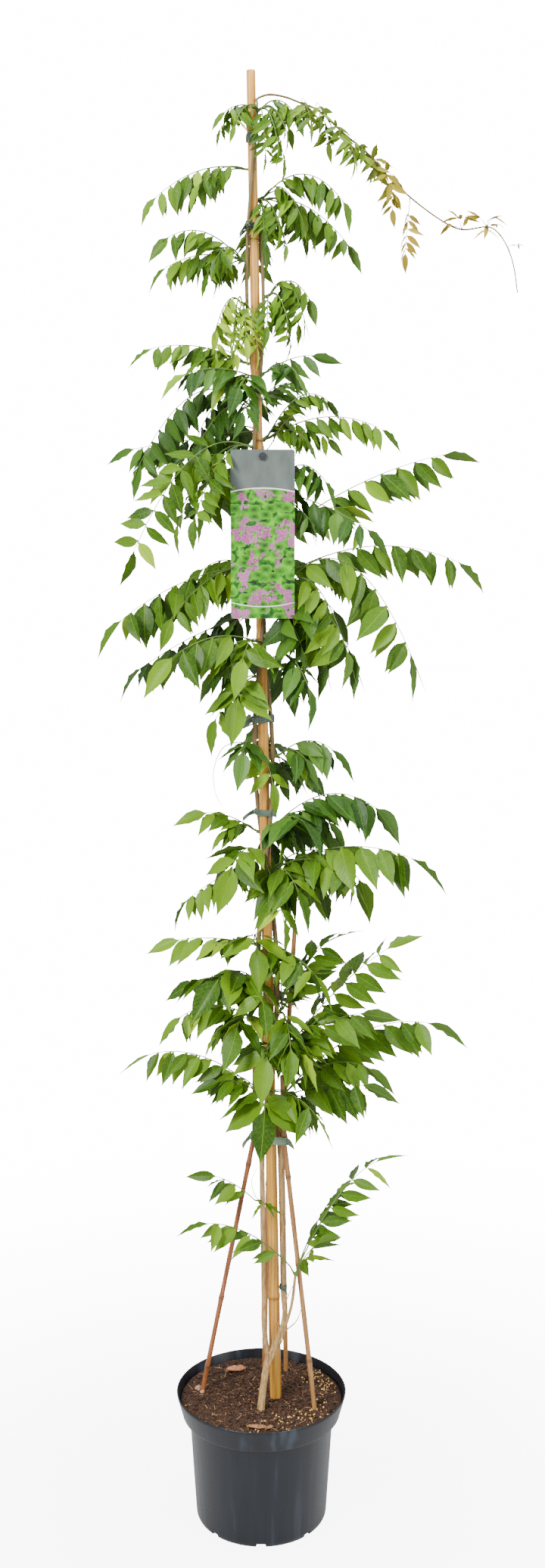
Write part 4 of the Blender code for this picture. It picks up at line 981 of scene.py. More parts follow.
SPUR_RADIUS = 0.0042
GAP = 0.0003
CURVE_STEPS = 24
BLADE = 0.0005
BLADE_ROWS = 9
BLADE_COLUMNS = 4
LEAFLET_PITCH = 0.40
OPEN_PITCH = 0.62
MOST_PAIRS = 8
END_TWIST = 42.0
MIDRIB_RADIUS = 0.00095
BARE_SHARE = 0.22
BARE_LEAST = 0.018
LEAFLET_SWEEP = 27.0
LEAFLET_WIDTH = 0.375
BROADER = 3.6
SLIMMED = 0.90
COMPANION_REACH = 12.0
SMALL_LEAFLET = 4.9
LIME_SLIMMED = 0.80
YOUNG_TINT = 2.0
SEED = 41
# The rows of a blade, as shares of its length, and its half width at shares of its length.
ROW_PLACES = (0.0, 0.07, 0.15, 0.27, 0.40, 0.54, 0.67, 0.79, 0.90, 1.0)
BLADE_OUTLINE = (
    (0.00, 0.050), (0.05, 0.075), (0.09, 0.34), (0.16, 0.66), (0.26, 0.91), (0.38, 1.00),
    (0.52, 0.93), (0.66, 0.72), (0.78, 0.44), (0.87, 0.21), (0.94, 0.085), (1.00, 0.012))

# A frond: the way it points (degrees, 0 to the right, 270 to the front), how far its tip
# reaches, its rise half way and at the tip (centimetres), pairs of leaflets, leaflet
# length (centimetres), how far the leaflets hang, and the roll of the whole frond (degrees).
Frond = namedtuple("Frond", "toward reach mid tip pairs leaflet hang roll", defaults=(0,))

# A spray: its height on the vine (centimetres) and tone, then its fronds.
SPRAYS = {
    "spray_crown": (204.6, "fresh", (
        Frond(212, 6.5, 0.2, -2.6, 2, 3.6, 55),
        Frond(306, 7.0, -1.4, -8.0, 2, 4.0, 45),
        Frond(350, 7.5, 1.0, -3.2, 2, 3.8, 60))),
    "spray_left_high": (197.4, "fresh", (
        Frond(180, 16.0, -0.6, -6.6, 3, 4.8, 66),)),
    "spray_right_high": (193.4, "fresh", (
        Frond(345, 14.8, 2.8, -4.4, 3, 5.0, 62),
        Frond(14, 16.0, -1.2, -8.8, 3, 5.0, 58),
        Frond(310, 6.5, -1.6, -7.0, 2, 3.8, 50))),
    "spray_left_second": (185.2, "fresh", (
        Frond(190, 14.8, 3.8, 0.2, 3, 4.8, 68),
        Frond(166, 16.0, 0.8, -2.6, 3, 4.8, 60))),
    "spray_right_third": (180.4, "fresh", (
        Frond(5, 9.0, 2.0, -3.4, 3, 4.4, 66),
        Frond(312, 7.5, -0.6, -6.6, 2, 4.2, 55))),
    "spray_lime": (179.4, "lime", (
        Frond(210, 7.0, 0.0, -6.5, 3, 4.6, 62),
        Frond(262, 7.5, -1.8, -8.0, 2, 4.8, 50))),
    "spray_left_third": (171.6, "fresh", (
        Frond(184, 18.0, 2.4, 0.6, 4, 4.8, 60),
        Frond(152, 12.0, 2.4, 1.0, 1, 5.2, 50))),
    "spray_shoulder_left": (169.3, "green", (
        Frond(203, 14.5, 1.2, -1.6, 3, 5.4, 50),
        Frond(248, 9.5, -0.4, -5.0, 2, 5.6, 35))),
    "spray_shoulder_right": (170.0, "green", (
        Frond(353, 11.6, 2.4, 1.4, 3, 5.0, 50),
        Frond(313, 10.5, 1.0, -3.4, 3, 5.2, 42))),
    "spray_dark_arch": (165.6, "dark", (
        Frond(176, 18.5, 1.4, -12.0, 4, 5.8, 64),)),
    "spray_spindly": (161.2, "fresh", (
        Frond(0, 20.5, 3.2, -0.6, 3, 4.6, 74),
        Frond(28, 13.4, 6.4, 3.6, 2, 3.8, 60))),
    "spray_dark_left": (162.6, "dark", (
        Frond(160, 23.4, -1.4, -3.0, 4, 5.4, 60),
        Frond(126, 12.0, 0.4, -3.0, 1, 6.2, 45))),
    "spray_open_left": (160.2, "fresh", (
        Frond(206, 20.6, -2.6, -18.6, 4, 5.8, 20, 55),)),
    "spray_bright_left": (156.6, "fresh", (
        Frond(191, 15.6, 2.4, -3.4, 3, 6.6, 66),
        Frond(150, 11.0, -2.0, -9.0, 1, 6.2, 45))),
    "spray_near_right": (154.2, "green", (
        Frond(328, 13.2, 3.4, -2.6, 2, 5.6, 62),
        Frond(340, 19.8, -2.6, -8.0, 3, 5.8, 64))),
    "spray_long_right": (147.8, "fresh", (
        Frond(17, 32.8, 8.6, 12.4, 4, 6.6, 70),
        Frond(52, 12.0, 4.0, 0.4, 1, 6.2, 50))),
    "spray_long_left": (143.6, "fresh", (
        Frond(185, 24.0, -3.0, -11.2, 4, 7.2, 56),
        Frond(152, 13.0, 0.6, -4.0, 2, 6.4, 45))),
    "spray_far_right": (141.6, "fresh", (
        Frond(8, 33.2, 5.0, 0.2, 4, 6.4, 68),
        Frond(52, 12.0, 3.0, -1.0, 1, 6.4, 45))),
    "spray_arch_right": (138.2, "fresh", (
        Frond(345, 23.8, 6.0, -12.0, 4, 7.4, 60),
        Frond(22, 14.4, 1.6, -5.0, 2, 6.6, 52))),
    "spray_low_left": (137.2, "dark", (
        Frond(166, 22.4, -4.4, -11.4, 3, 6.6, 50),
        Frond(132, 12.0, -0.6, -4.0, 1, 6.6, 40))),
    "spray_dark_right": (134.0, "dark", (
        Frond(340, 15.4, 4.6, -7.6, 3, 7.8, 56),
        Frond(20, 11.0, 0.4, -5.4, 1, 6.2, 50))),
    "spray_palm_left": (133.2, "fresh", (
        Frond(207, 18.6, 0.4, -6.0, 4, 7.6, 62),
        Frond(246, 9.0, -0.4, -7.0, 2, 6.8, 30))),
    "spray_hang_right": (130.2, "green", (
        Frond(312, 12.0, 0.6, -7.6, 3, 6.8, 45),
        Frond(62, 11.0, -1.6, -8.0, 1, 6.6, 45))),
    "spray_palm_front": (128.4, "fresh", (
        Frond(240, 9.4, -1.4, -8.4, 3, 7.6, 20),
        Frond(190, 9.0, -3.6, -10.6, 2, 6.2, 35))),
    "spray_waist_right": (116.8, "green", (
        Frond(354, 13.2, 2.2, -2.8, 3, 6.4, 58),
        Frond(50, 14.0, -3.0, -6.0, 2, 6.4, 32))),
    "spray_waist_front": (118.4, "green", (
        Frond(242, 7.5, 0.4, -5.0, 2, 6.4, 28),
        Frond(292, 6.0, -1.4, -9.2, 2, 5.8, 40))),
    "spray_fan_right": (107.0, "green", (
        Frond(358, 20.0, 4.6, -1.6, 3, 7.0, 60),
        Frond(305, 14.0, 2.0, -1.8, 3, 7.2, 36))),
    "spray_waist_left": (105.6, "fresh", (
        Frond(178, 13.0, 2.8, 1.4, 3, 5.8, 42),)),
    "spray_palm_big": (102.6, "fresh", (
        Frond(230, 10.6, 1.0, -6.6, 3, 8.0, 18),
        Frond(168, 15.2, -4.2, -10.4, 3, 5.8, 45))),
    "spray_low_arch": (100.2, "fresh", (
        Frond(344, 27.2, 4.4, 0.0, 4, 8.0, 56),
        Frond(20, 18.0, 2.2, -7.6, 2, 7.6, 56),
        Frond(300, 12.5, 0.6, -6.0, 2, 7.6, 28))),
    "spray_slim_left": (89.4, "fresh", (
        Frond(178, 17.6, 0.8, -0.9, 3, 6.0, 32),
        Frond(262, 9.0, 2.0, -4.4, 2, 7.2, 24))),
    "spray_broad_left": (84.2, "fresh", (
        Frond(216, 13.0, 1.4, -4.0, 3, 8.2, 30),
        Frond(160, 16.6, -0.8, -4.2, 2, 6.6, 34))),
    "spray_rise_right": (79.2, "fresh", (
        Frond(344, 13.4, 10.0, 12.3, 3, 6.4, 30, -50),
        Frond(84, 16.0, 3.4, 3.4, 2, 6.6, 34))),
    "spray_round_left": (77.4, "fresh", (
        Frond(186, 16.6, 2.6, -2.0, 3, 6.0, 60),
        Frond(240, 12.0, 2.0, -3.6, 2, 7.8, 26))),
    "spray_star_front": (74.6, "fresh", (
        Frond(262, 9.0, 0.4, -6.4, 3, 8.0, 18),
        Frond(302, 13.0, 0.8, -3.6, 3, 7.4, 44))),
    "spray_tall_right": (71.8, "fresh", (
        Frond(4, 22.2, 12.4, 18.8, 4, 6.6, 30, -35),
        Frond(350, 19.0, 7.0, 7.0, 3, 6.8, 56))),
    "spray_low_reach": (66.8, "fresh", (
        Frond(182, 22.2, 6.4, 4.0, 4, 6.2, 64),)),
    "spray_star_low": (67.6, "fresh", (
        Frond(262, 8.8, -0.4, -8.0, 2, 8.8, 16),
        Frond(322, 12.2, -0.6, -6.0, 2, 6.6, 48))),
    "spray_reach_right": (65.2, "fresh", (
        Frond(3, 29.2, 11.0, 9.6, 4, 7.6, 60),
        Frond(342, 19.6, 3.6, 3.2, 2, 6.8, 58))),
}

# Short leaves that close in towards the cane, added to the sprays above from the same buds.
INNER_LEAVES = {
    "spray_palm_big": Frond(285, 14.0, -4.5, -10.8, 2, 6.2, 42),
    "spray_broad_left": Frond(270, 11.0, -0.5, -5.0, 1, 6.2, 42),
    "spray_shoulder_right": Frond(255, 11.0, -3.5, -8.5, 1, 5.0, 42),
    "spray_rise_right": Frond(285, 14.0, -0.6, -6.4, 2, 6.2, 42),
    "spray_hang_right": Frond(150, 11.0, -0.5, -5.0, 1, 6.2, 42),
    "spray_fan_right": Frond(30, 14.0, -0.6, -6.4, 2, 6.2, 42),
    "spray_waist_right": Frond(105, 14.0, 3.6, 3.8, 2, 6.2, 42),
    "spray_slim_left": Frond(315, 14.0, -0.6, -6.4, 2, 6.2, 42),
    "spray_waist_left": Frond(60, 11.0, -3.5, -8.5, 1, 6.2, 42),
    "spray_right_high": Frond(90, 14.0, -4.5, -10.8, 2, 5.0, 42),
    "spray_dark_arch": Frond(60, 14.0, 3.6, 3.8, 2, 5.0, 42),
}

# Low sprays: one on the left strand near the soil, one at the tip of the side shoot.
LOW_SPRAYS = {
    "spray_skirt_left": (50.0, "fresh", (
        Frond(183, 12.6, 3.8, 4.2, 3, 5.2, 56),
        Frond(272, 5.6, 0.8, -0.8, 1, 4.2, 25))),
    "spray_skirt_right": (40.6, "fresh", (
        Frond(194, 16.0, 7.2, 7.4, 3, 5.6, 54),
        Frond(6, 18.2, 13.4, 16.3, 4, 5.8, 34, -30),
        Frond(326, 10.0, 5.4, 7.0, 2, 5.2, 42),
        Frond(30, 14.0, 9.2, 10.6, 2, 5.2, 50))),
}


def frond_line(root, target_axis, frond):
    """Places from the root to the tip of a leaf, along a parabola in an upright plane."""
    tip = target_axis + heading(frond.toward) * (frond.reach / 100)
    rise = (4 * frond.mid - frond.tip) / 100
    sag = (2 * frond.tip - 4 * frond.mid) / 100
    places = []
    for step in range(CURVE_STEPS + 1):
        s = step / CURVE_STEPS
        flat = root.lerp(tip, s)
        places.append(Vector((flat.x, flat.y, root.z + rise * s + sag * s * s)))
    return places


def point_at(places, distance):
    """Place and direction at a distance along a line of places."""
    for first, second in zip(places, places[1:]):
        span = (second - first).length
        if distance <= span or second is places[-1]:
            return first + (second - first) * (distance / span), (second - first).normalized()
        distance -= span


def leaf_frame(along, frond):
    """Sideways and downward directions of the leaflets where the midrib runs along."""
    side = Vector((0, 0, 1)).cross(heading(frond.toward))
    down = side.cross(along).normalized()
    roll = math.radians(frond.roll)
    return (math.cos(roll) * side + math.sin(roll) * down,
            math.cos(roll) * down - math.sin(roll) * side)


def half_width(along):
    """Half width of a leaflet, as a share of its widest, at a share of its length."""
    for (start, low), (end, high) in zip(BLADE_OUTLINE, BLADE_OUTLINE[1:]):
        if along <= end:
            share = (along - start) / (end - start)
            share = share * share * (3 - 2 * share) * 0.4 + share * 0.6
            return low + (high - low) * share
    return BLADE_OUTLINE[-1][1]


def grow_leaflet(bm, layers, foot, way, top, length, draw, young=0.0):
    """One thin blade: a grid drawn out to the leaflet's outline and bent to its form."""
    uv, tint = layers
    width = length * (LEAFLET_WIDTH + BROADER * (length - 0.05)) * draw.uniform(0.88, 1.10)
    twist = Matrix.Rotation(math.radians(draw.gauss(0, 19)), 3, way)
    top = twist @ top
    top = (top - way * top.dot(way)).normalized()
    across = way.cross(top)
    fold = math.tan(math.radians(draw.uniform(6, 24)))
    droop = draw.uniform(0.04, 0.24)
    sickle = draw.uniform(-0.06, 0.06)
    wave = draw.uniform(0.016, 0.040)
    phase = draw.uniform(0, math.tau)
    shade = draw.random() + (YOUNG_TINT if draw.random() < young else 0.0)
    grown = bmesh.ops.create_grid(bm, x_segments=BLADE_COLUMNS, y_segments=BLADE_ROWS, size=1.0)["verts"]
    marks = {}
    for vertex in grown:
        side = vertex.co.x
        share = ROW_PLACES[round((vertex.co.y + 1) / 2 * BLADE_ROWS)]
        reach = half_width(share) * side
        lift = fold * abs(reach) * width / 2 + wave * length * reach * reach * math.sin(
            7.5 * share * math.pi + phase + (1.4 if side > 0 else 0.0))
        vertex.co = (foot + way * (length * share) + across * (reach * width / 2
                     + sickle * length * share * share) + top * (lift - droop * length * share * share))
        marks[vertex] = (0.5 + 0.5 * reach, share)
    for face in {face for vertex in grown for face in vertex.link_faces}:
        face[tint] = shade
        for loop in face.loops:
            loop[uv].uv = marks[loop.vert]


def clothe_frond(bm, layers, stems, start, root, target_axis, frond, draw, slim=1.0, young=0.0,
                 open_pairs=False):
    """One pinnate leaf: its midrib joins the stems, its leaflets join the blades."""
    line = frond_line(root, target_axis, frond)
    total = sum((second - first).length for first, second in zip(line, line[1:]))
    leaflet = frond.leaflet / 100 * SLIMMED
    bare = max(BARE_SHARE * total, BARE_LEAST)
    last = total - leaflet * 0.93
    pitch_share = OPEN_PITCH if open_pairs else LEAFLET_PITCH
    pairs = max(frond.pairs, min(MOST_PAIRS, 1 + round((last - bare) / (leaflet * pitch_share))))
    pitch = (last - bare) / (pairs - 0.35)
    feet = [bare + pitch * number for number in range(pairs)]
    rib = [start, *(place for place in line[1:]
                    if (place - line[0]).length < last - 0.002), point_at(line, last)[0]]
    radii = [MIDRIB_RADIUS * slim * (1.25 - 0.75 * step / len(rib)) for step in range(len(rib))]
    radii[0] *= 1.7
    stems.append((rib, radii))
    for number, foot in enumerate(feet):
        grown = leaflet * (0.80 + 0.20 * math.sin(math.pi * (number + 0.7) / (pairs + 0.4)))
        for sign in (-1, 1):
            place, along = point_at(line, foot + draw.uniform(-0.0022, 0.0022))
            side, down = leaf_frame(along, frond)
            hang = math.radians(frond.hang + draw.uniform(-16, 16))
            sweep = math.radians(LEAFLET_SWEEP + draw.uniform(-13, 13))
            out = math.cos(hang) * sign * side + math.sin(hang) * down
            way = (math.cos(sweep) * out + math.sin(sweep) * along).normalized()
            top = way.cross(along)
            if top.dot(down) > 0:
                top = -top
            grow_leaflet(bm, layers, place, way, top, grown * draw.uniform(0.86, 1.04), draw, young)
    place, along = point_at(line, last)
    side, down = leaf_frame(along, frond)
    way = (along + 0.25 * down).normalized()
    twist = math.radians(END_TWIST)
    top = math.sin(twist) * side - math.cos(twist) * down
    grow_leaflet(bm, layers, place, way, top, leaflet, draw, young)


def blade_bmesh():
    """An empty bmesh for blades, with the layers that the leaf materials read."""
    bm = bmesh.new()
    return bm, (bm.loops.layers.uv.new("blade"), bm.faces.layers.float.new("tint"))


def leafy_piece(name, bm, stems, skins, bud=None):
    """Give the blades their thickness and join the stems and the bud to them."""
    blades = object_from(bm, name)
    for skin in skins:
        blades.data.materials.append(skin)
    solid = blades.modifiers.new("thickness", "SOLIDIFY")
    solid.thickness = BLADE
    solid.offset = -1.0
    solid.material_offset = 1
    solid.material_offset_rim = 0
    blades = applied(blades)
    ribs = stem_tube("ribs", stems, 1)
    whole = bmesh.new()
    whole.from_mesh(blades.data)
    for face in whole.faces:
        face.smooth = True
    seen = len(whole.faces)
    whole.from_mesh(ribs.data)
    if bud:
        place, size = bud
        bump = bmesh.ops.create_icosphere(whole, subdivisions=2, radius=size)["verts"]
        bmesh.ops.translate(whole, verts=bump, vec=place)
    whole.faces.ensure_lookup_table()
    for face in whole.faces[seen:]:
        face.material_index = 2
        face.smooth = True
    whole.to_mesh(blades.data)
    whole.free()
    bpy.data.objects.remove(ribs, do_unlink=True)
    return blades


def leaf_skin(name, deep, mid, bright, vein, roughness, under=False, tip_stops=None):
    """Leaf surface: a tint for each leaflet, mottling, a pale midrib and fine side veins."""
    material, tree, shader = shader_tree(name, roughness)
    tint = add_node(tree, "Attribute", {}, attribute_name="tint").outputs["Fac"]
    patches = mottle(tree, (30, 30, 30), 3.0)
    fine = mottle(tree, (260, 260, 260), 3.0)
    mixed = calc(tree, "ADD", calc(tree, "MULTIPLY", calc(tree, "FRACT", tint), 0.62),
                 calc(tree, "MULTIPLY", patches, 0.40))
    base = colours(tree, mixed, ((0.18, deep), (0.50, mid), (0.86, bright)))
    soft = colours(tree, mixed, (
        (0.18, (0.085, 0.200, 0.004)), (0.50, (0.170, 0.330, 0.008)), (0.86, (0.320, 0.480, 0.022))))
    base = blend(tree, smooth_mask(tree, tint, 1.2, 1.6), base, soft)
    if tip_stops:
        place = add_node(tree, "SeparateXYZ", {0: add_node(tree, "TexCoord", {}).outputs["Object"]})
        ripe = smooth_mask(tree, place.outputs["X"], 0.130, 0.200)
        base = blend(tree, ripe, base, colours(tree, mixed, tip_stops))
    spots = calc(tree, "MULTIPLY", colours(tree, fine, ((0.45, (0, 0, 0)), (0.75, (1, 1, 1)))), 0.28)
    base = blend(tree, spots, base, (*bright, 1.0))
    parts = add_node(tree, "SeparateXYZ", {0: add_node(tree, "UVMap", {}, uv_map="blade").outputs[0]})
    aside = calc(tree, "ABSOLUTE", calc(tree, "SUBTRACT", parts.outputs["X"], 0.5))
    rib = calc(tree, "SUBTRACT", 1.0, smooth_mask(tree, aside, 0.008, 0.030))
    slant = calc(tree, "SUBTRACT", calc(tree, "MULTIPLY", parts.outputs["Y"], 9.0),
                 calc(tree, "MULTIPLY", aside, 5.5))
    comb = calc(tree, "ABSOLUTE", calc(tree, "SUBTRACT", calc(tree, "FRACT", slant), 0.5))
    side_veins = smooth_mask(tree, comb, 0.43, 0.50)
    web = calc(tree, "MAXIMUM", rib, calc(tree, "MULTIPLY", side_veins, 0.45))
    base = blend(tree, calc(tree, "MULTIPLY", web, 0.75 if under else 0.62), base, (*vein, 1.0))
    edge = smooth_mask(tree, parts.outputs["Y"], 0.80, 1.0)
    base = blend(tree, calc(tree, "MULTIPLY", edge, 0.30), base, (*bright, 1.0))
    tree.links.new(base, shader.inputs["Base Color"])
    shader.inputs["Specular IOR Level"].default_value = 0.22
    raise_bump(tree, shader, calc(tree, "MULTIPLY", web, 1.0 if under else -1.0), 0.0006, 0.6)
    return material


def leaf_pair(tone, deep, mid, bright, vein):
    """The glossier upper face and the paler matt underside of one tone of leaf."""
    pale = [tuple(0.72 * part + 0.28 * back for part, back in zip(colour, (0.120, 0.210, 0.050)))
            for colour in (deep, mid, bright)]
    return [leaf_skin("leaf_" + tone + "_top", deep, mid, bright, vein, 0.40),
            leaf_skin("leaf_" + tone + "_under", *pale, vein, 0.62, under=True), stem_green]


LEAF_FINISHES = {
    "fresh": leaf_pair("fresh", (0.021, 0.066, 0.002), (0.058, 0.144, 0.003), (0.140, 0.275, 0.007),
                       (0.180, 0.320, 0.020)),
    "green": leaf_pair("green", (0.013, 0.049, 0.004), (0.033, 0.102, 0.007), (0.082, 0.192, 0.016),
                       (0.110, 0.232, 0.026)),
    "dark": leaf_pair("dark", (0.009, 0.034, 0.002), (0.022, 0.070, 0.003), (0.054, 0.140, 0.006),
                      (0.078, 0.175, 0.014)),
    "lime": leaf_pair("lime", (0.120, 0.240, 0.004), (0.230, 0.400, 0.009), (0.400, 0.560, 0.025),
                      (0.420, 0.560, 0.060))}


def mean_heading(fronds):
    total = sum((heading(frond.toward) for frond in fronds), Vector())
    return total.normalized()


def strand_for(way, height):
    """The strand that stands nearest to the side that a spray grows to."""
    return max((0, 1), key=lambda strand: heading(strand_angle(strand, height)).dot(way))


# The share of young yellow-green leaflets, for some fronds of some sprays and for the rest.
YOUNG_LEAVES = {
    ("spray_waist_front", 1): 0.9, ("spray_star_front", 1): 0.35, ("spray_palm_front", 0): 0.15,
    ("spray_low_reach", 0): 0.25, ("spray_slim_left", 0): 0.3, ("spray_skirt_right", 2): 0.35}
STRAY_YOUNG = 0.05


def companions(fronds):
    """Shorter leaves that hang beside the long ones of a spray and fill it out."""
    draw = random.Random(SEED + len(fronds) + round(fronds[0].toward))
    extra = []
    for frond in fronds:
        if frond.reach <= COMPANION_REACH and frond.leaflet >= SMALL_LEAFLET:
            continue
        for side in (-1, 1):
            share = draw.uniform(0.42, 0.66) if frond.reach > COMPANION_REACH else 0.85
            toward = frond.toward + side * draw.uniform(9, 24) * (10 / frond.reach) ** 0.5
            extra.append(Frond(toward, frond.reach * share,
                               frond.mid * share - draw.uniform(0.0, 1.2),
                               frond.tip * share - draw.uniform(1.2, 3.6), 2,
                               frond.leaflet * draw.uniform(0.76, 0.94), frond.hang - 10))
    return extra


def spray_piece(name, bud, stem_root, target_axis, fronds, skins):
    """All leaves of one bud, with their midribs carried back into the vine."""
    draw = random.Random(SEED + sum(ord(letter) for letter in name))
    bm, layers = blade_bmesh()
    stems = []
    fronds = [*fronds, *(() if "skirt" in name else companions(fronds))]
    if name == "spray_lime":
        fronds = [frond._replace(leaflet=frond.leaflet * LIME_SLIMMED) for frond in fronds]
    for number, frond in enumerate(fronds):
        root = bud + heading(frond.toward) * 0.001
        clothe_frond(bm, layers, stems, stem_root, root, target_axis, frond, draw,
                     young=YOUNG_LEAVES.get((name, number), STRAY_YOUNG), open_pairs="skirt" in name)
    return leafy_piece("leafy_" + name[6:], bm, stems, skins,
                       (bud.lerp(stem_root, 0.35), SPUR_RADIUS * 0.62))


for spray_name, (height_cm, tone, fronds) in SPRAYS.items():
    height = height_cm / 100
    way = mean_heading(fronds)
    strand = strand_for(way, height)
    lean = (way + 0.6 * heading(strand_angle(strand, height))).normalized()
    bud = strand_centre(strand, height) + lean * (strand_radius(height) + GAP + SPUR_RADIUS)
    stem_root = strand_centre(strand, height) + lean * strand_radius(height) * 0.5
    if spray_name in INNER_LEAVES:
        fronds += (INNER_LEAVES[spray_name],)
    skins = LEAF_FINISHES[tone]
    dress(spray_piece(spray_name, bud, stem_root, cane_axis(height), fronds, skins), skins,
          "leaf_" + tone, spray_name, sharp=70)

height_cm, tone, fronds = LOW_SPRAYS["spray_skirt_left"]
height = height_cm / 100
bud = strand_centre(0, height) + heading(225) * (strand_radius(height) + GAP + SPUR_RADIUS)
skins = LEAF_FINISHES[tone]
dress(spray_piece("spray_skirt_left", bud, strand_centre(0, height), cane_axis(height), fronds, skins),
      skins, "leaf_" + tone, "spray_skirt_left", sharp=70)

_, tone, fronds = LOW_SPRAYS["spray_skirt_right"]
shoot_tip = Vector(SHOOT[-1])
bud = shoot_tip + Vector((0, 0, GAP + SPUR_RADIUS + 0.0004))
skins = LEAF_FINISHES[tone]
dress(spray_piece("spray_skirt_right", bud, shoot_tip - Vector((0, 0, 0.003)),
                  Vector((0.034, -0.020, bud.z)), fronds, skins),
      skins, "leaf_" + tone, "spray_skirt_right", sharp=70)


# Runner: this year's longest shoot. It leaves the top of the vine and arches away to the
# right, with small soft leaves that turn from green to bronze, and ends in a bare wiry tip.

RUNNER_PATH = (
    (0.012, -0.011, 2.066), (0.033, -0.012, 2.063), (0.055, -0.012, 2.055),
    (0.080, -0.010, 2.045), (0.113, -0.008, 2.017), (0.146, -0.006, 1.991), (0.170, -0.005, 1.966),
    (0.204, -0.004, 1.935), (0.245, -0.003, 1.906), (0.275, -0.002, 1.893), (0.309, -0.001, 1.897),
    (0.325, 0.000, 1.889), (0.338, 0.000, 1.870), (0.347, 0.000, 1.845), (0.353, 0.000, 1.810))
RUNNER_RADIUS = 0.0013
# Leaves that grow from the knots of the path, and the span of it that has small ones all
# along, with the ways that those point in turn. A tuft leaf has a knot, the way it points,
# its reach, its rise and its leaflet length.
RUNNER_LEAVES = (
    (2, Frond(296, 4.0, -1.2, -5.6, 2, 3.3, 40)),
    (3, Frond(60, 3.6, -1.6, -6.0, 1, 3.3, 40)),
    (4, Frond(300, 3.6, -1.8, -6.2, 2, 3.2, 40)),
    (6, Frond(62, 3.2, -2.0, -6.6, 2, 3.0, 40)),
    (7, Frond(240, 1.8, -4.4, -10.0, 3, 3.0, 36)),
    (9, Frond(236, 3.2, 1.6, 1.4, 1, 2.8, 20)),
    (10, Frond(300, 3.0, 1.0, 0.4, 1, 2.6, 20)),
)
RUNNER_CLOTHED = (0.052, 0.190)
RUNNER_WAYS = (292, 66, 246, 118)
RUNNER_TUFT = ((9, 188, 2.6, 0.9, 2.6), (9, 300, 1.8, 1.6, 2.4), (10, 205, 3.0, 2.0, 2.4),
               (10, 262, 1.6, -0.6, 2.8), (10, 20, 1.6, 0.5, 1.4), (12, 30, 1.5, 0.6, 1.2))


def runner_piece(skins):
    """The shoot and all its leaves, from the end of the first strand."""
    before, end = (strand_centre(0, STRAND_TOP - back) for back in (STRAND_STEP, 0.0))
    rise = (end - before).normalized()
    knots = [end - rise * 0.004, end + rise * GAP, end + rise * 0.006,
             *(Vector(spot) for spot in RUNNER_PATH)]
    path = smooth_path(knots, 5)
    radii = [RUNNER_RADIUS * (1.35 - 0.65 * step / len(path)) for step in range(len(path))]
    draw = random.Random(SEED)
    bm, layers = blade_bmesh()
    stems = [(path, knobbly(path, radii, 0.12, 2))]
    for knot, frond in RUNNER_LEAVES:
        root = Vector(RUNNER_PATH[knot])
        clothe_frond(bm, layers, stems, root, root, root, frond, draw, 0.65)
    spots = [place for place in path if RUNNER_CLOTHED[0] < place.x < RUNNER_CLOTHED[1]]
    for number, root in enumerate(spots):
        way = RUNNER_WAYS[number % len(RUNNER_WAYS)] + draw.uniform(-16, 16)
        frond = Frond(way, draw.uniform(1.2, 2.2), draw.uniform(-0.2, 0.5),
                      draw.uniform(-3.0, -1.0), 1, draw.uniform(2.6, 3.5), 24)
        clothe_frond(bm, layers, stems, root, root, root, frond, draw, 0.55)
    for knot, way, reach, rise, length in RUNNER_TUFT:
        root = Vector(RUNNER_PATH[knot])
        frond = Frond(way, reach, rise * 0.7, rise, 1, length, 30)
        clothe_frond(bm, layers, stems, root, root, root, frond, draw, 0.55)
    return leafy_piece("runner_shoot", bm, stems, skins)


BRONZE_STOPS = (
    (0.18, (0.190, 0.120, 0.006)), (0.50, (0.380, 0.260, 0.014)), (0.86, (0.580, 0.420, 0.045)))
RUNNER_VEIN = (0.300, 0.320, 0.080)
runner_top = leaf_skin("leaf_runner_top", (0.040, 0.105, 0.003), (0.090, 0.190, 0.005),
                       (0.190, 0.330, 0.012), RUNNER_VEIN, 0.40, tip_stops=BRONZE_STOPS)
runner_under = leaf_skin("leaf_runner_under", (0.070, 0.140, 0.010), (0.120, 0.210, 0.014),
                         (0.210, 0.330, 0.024), RUNNER_VEIN, 0.62, under=True, tip_stops=BRONZE_STOPS)
runner_skins = [runner_top, runner_under, stem_bronze]
dress(runner_piece(runner_skins), runner_skins, "leaf_bronze", "runner", sharp=70)


# Studio: a white floor that brightens into the surround with distance, so that no horizon
# shows, a large soft key light at the upper left, a weaker one at the right and one overhead.
# The surround is seen brighter than it lights, as a white sweep behind a plant looks.

SURROUND_LIGHT = 0.85
SURROUND_SEEN = 16.0
FLOOR_RADIUS = 50.0


def white_glow(tree):
    """Strength of the white surround, which is higher where the camera sees it."""
    seen = add_node(tree, "LightPath", {}).outputs["Is Camera Ray"]
    return calc(tree, "MULTIPLY_ADD", seen, SURROUND_SEEN - SURROUND_LIGHT, SURROUND_LIGHT)


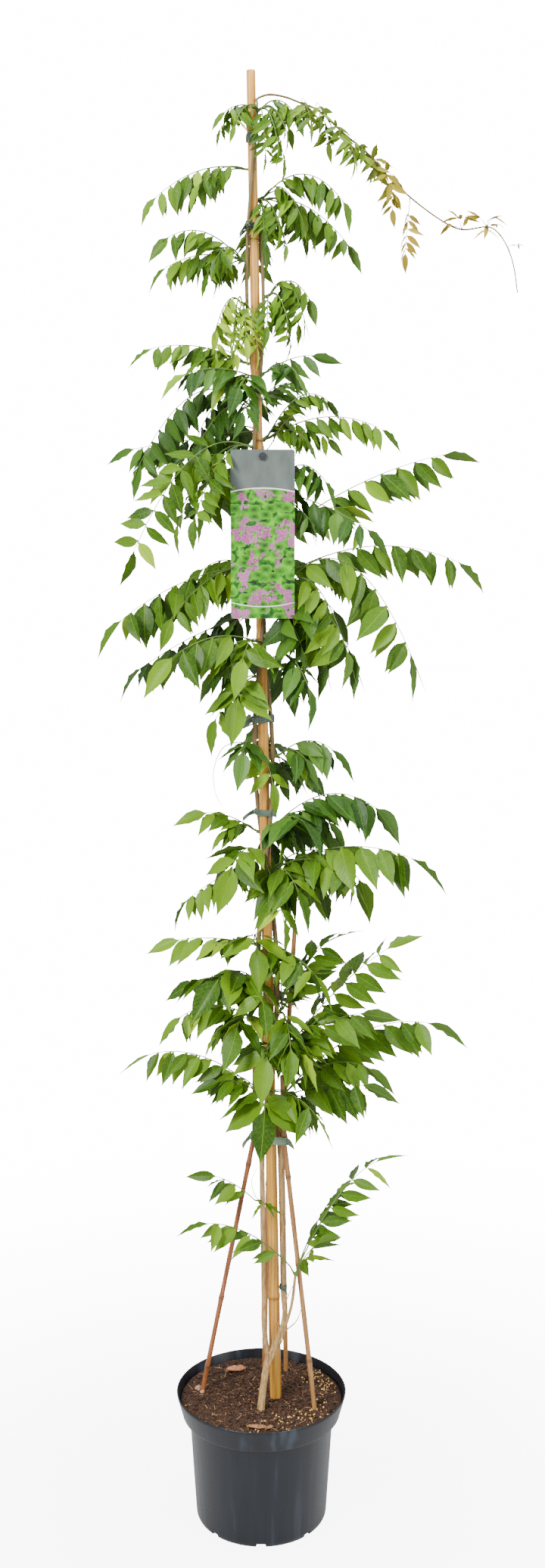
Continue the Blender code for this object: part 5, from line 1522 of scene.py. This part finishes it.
floor_shape = bmesh.new()
bmesh.ops.create_circle(floor_shape, cap_ends=True, segments=96, radius=FLOOR_RADIUS)
floor = object_from(floor_shape, "floor")
floor_paint, floor_tree, floor_shader = shader_tree("floor_paint", 0.7)
floor_tree.links.new(colours(floor_tree, mottle(floor_tree, (0.8, 0.8, 0.8), 2.0), (
    (0.0, (0.860, 0.860, 0.860)), (1.0, (0.890, 0.890, 0.890)))), floor_shader.inputs["Base Color"])
floor_place = add_node(floor_tree, "TexCoord", {}).outputs["Object"]
floor_reach = add_node(floor_tree, "VectorMath", {0: floor_place}, operation="LENGTH").outputs["Value"]
far_glow = add_node(floor_tree, "Emission", {"Strength": white_glow(floor_tree)})
floor_mix = add_node(floor_tree, "MixShader", {
    0: calc(floor_tree, "MULTIPLY_ADD", smooth_mask(floor_tree, floor_reach, 0.12, 1.60), 0.55, 0.45),
    1: floor_shader.outputs[0], 2: far_glow.outputs[0]})
floor_tree.links.new(floor_mix.outputs[0], floor_tree.nodes["Material Output"].inputs["Surface"])
floor.data.materials.append(floor_paint)


def soft_light(name, place, aim, size, power):
    """A rectangular lamp that faces a place on the plant."""
    light = bpy.data.lights.new(name, "AREA")
    light.shape = "RECTANGLE"
    light.size, light.size_y = size
    light.energy = power
    made = bpy.data.objects.new(name, light)
    bpy.context.scene.collection.objects.link(made)
    made.location = place
    made.rotation_euler = (Vector(aim) - Vector(place)).to_track_quat("-Z", "Y").to_euler()


soft_light("light_left", (-2.2, -2.6, 3.0), (0, 0, 1.0), (1.1, 1.8), 230)
soft_light("light_right", (2.6, -1.8, 2.2), (0, 0, 0.9), (0.9, 1.8), 80)
soft_light("light_top", (0.2, -0.3, 4.2), (0, 0, 1.0), (1.6, 1.6), 110)
world = bpy.data.worlds.new("surround")
world.use_nodes = True
world.node_tree.nodes["Background"].inputs["Color"].default_value = (1.0, 1.0, 1.0, 1.0)
world.node_tree.links.new(white_glow(world.node_tree),
                          world.node_tree.nodes["Background"].inputs["Strength"])
bpy.context.scene.world = world


# Camera: in front of the plant, above its middle and tilted down a little, as the photo was
# taken. The frame is 720 wide and 2072 high.

CAMERA_PLACE = (0.017, -2.400, 1.500)
CAMERA_TILT = 81.19
CAMERA_LENS = 38.90

camera = bpy.data.cameras.new("camera")
camera.lens = CAMERA_LENS
camera.sensor_width = 36.0
camera.clip_end = 120.0
view = bpy.data.objects.new("camera", camera)
bpy.context.scene.collection.objects.link(view)
view.location = CAMERA_PLACE
view.rotation_euler = (math.radians(CAMERA_TILT), 0.0, 0.0)
bpy.context.scene.camera = view
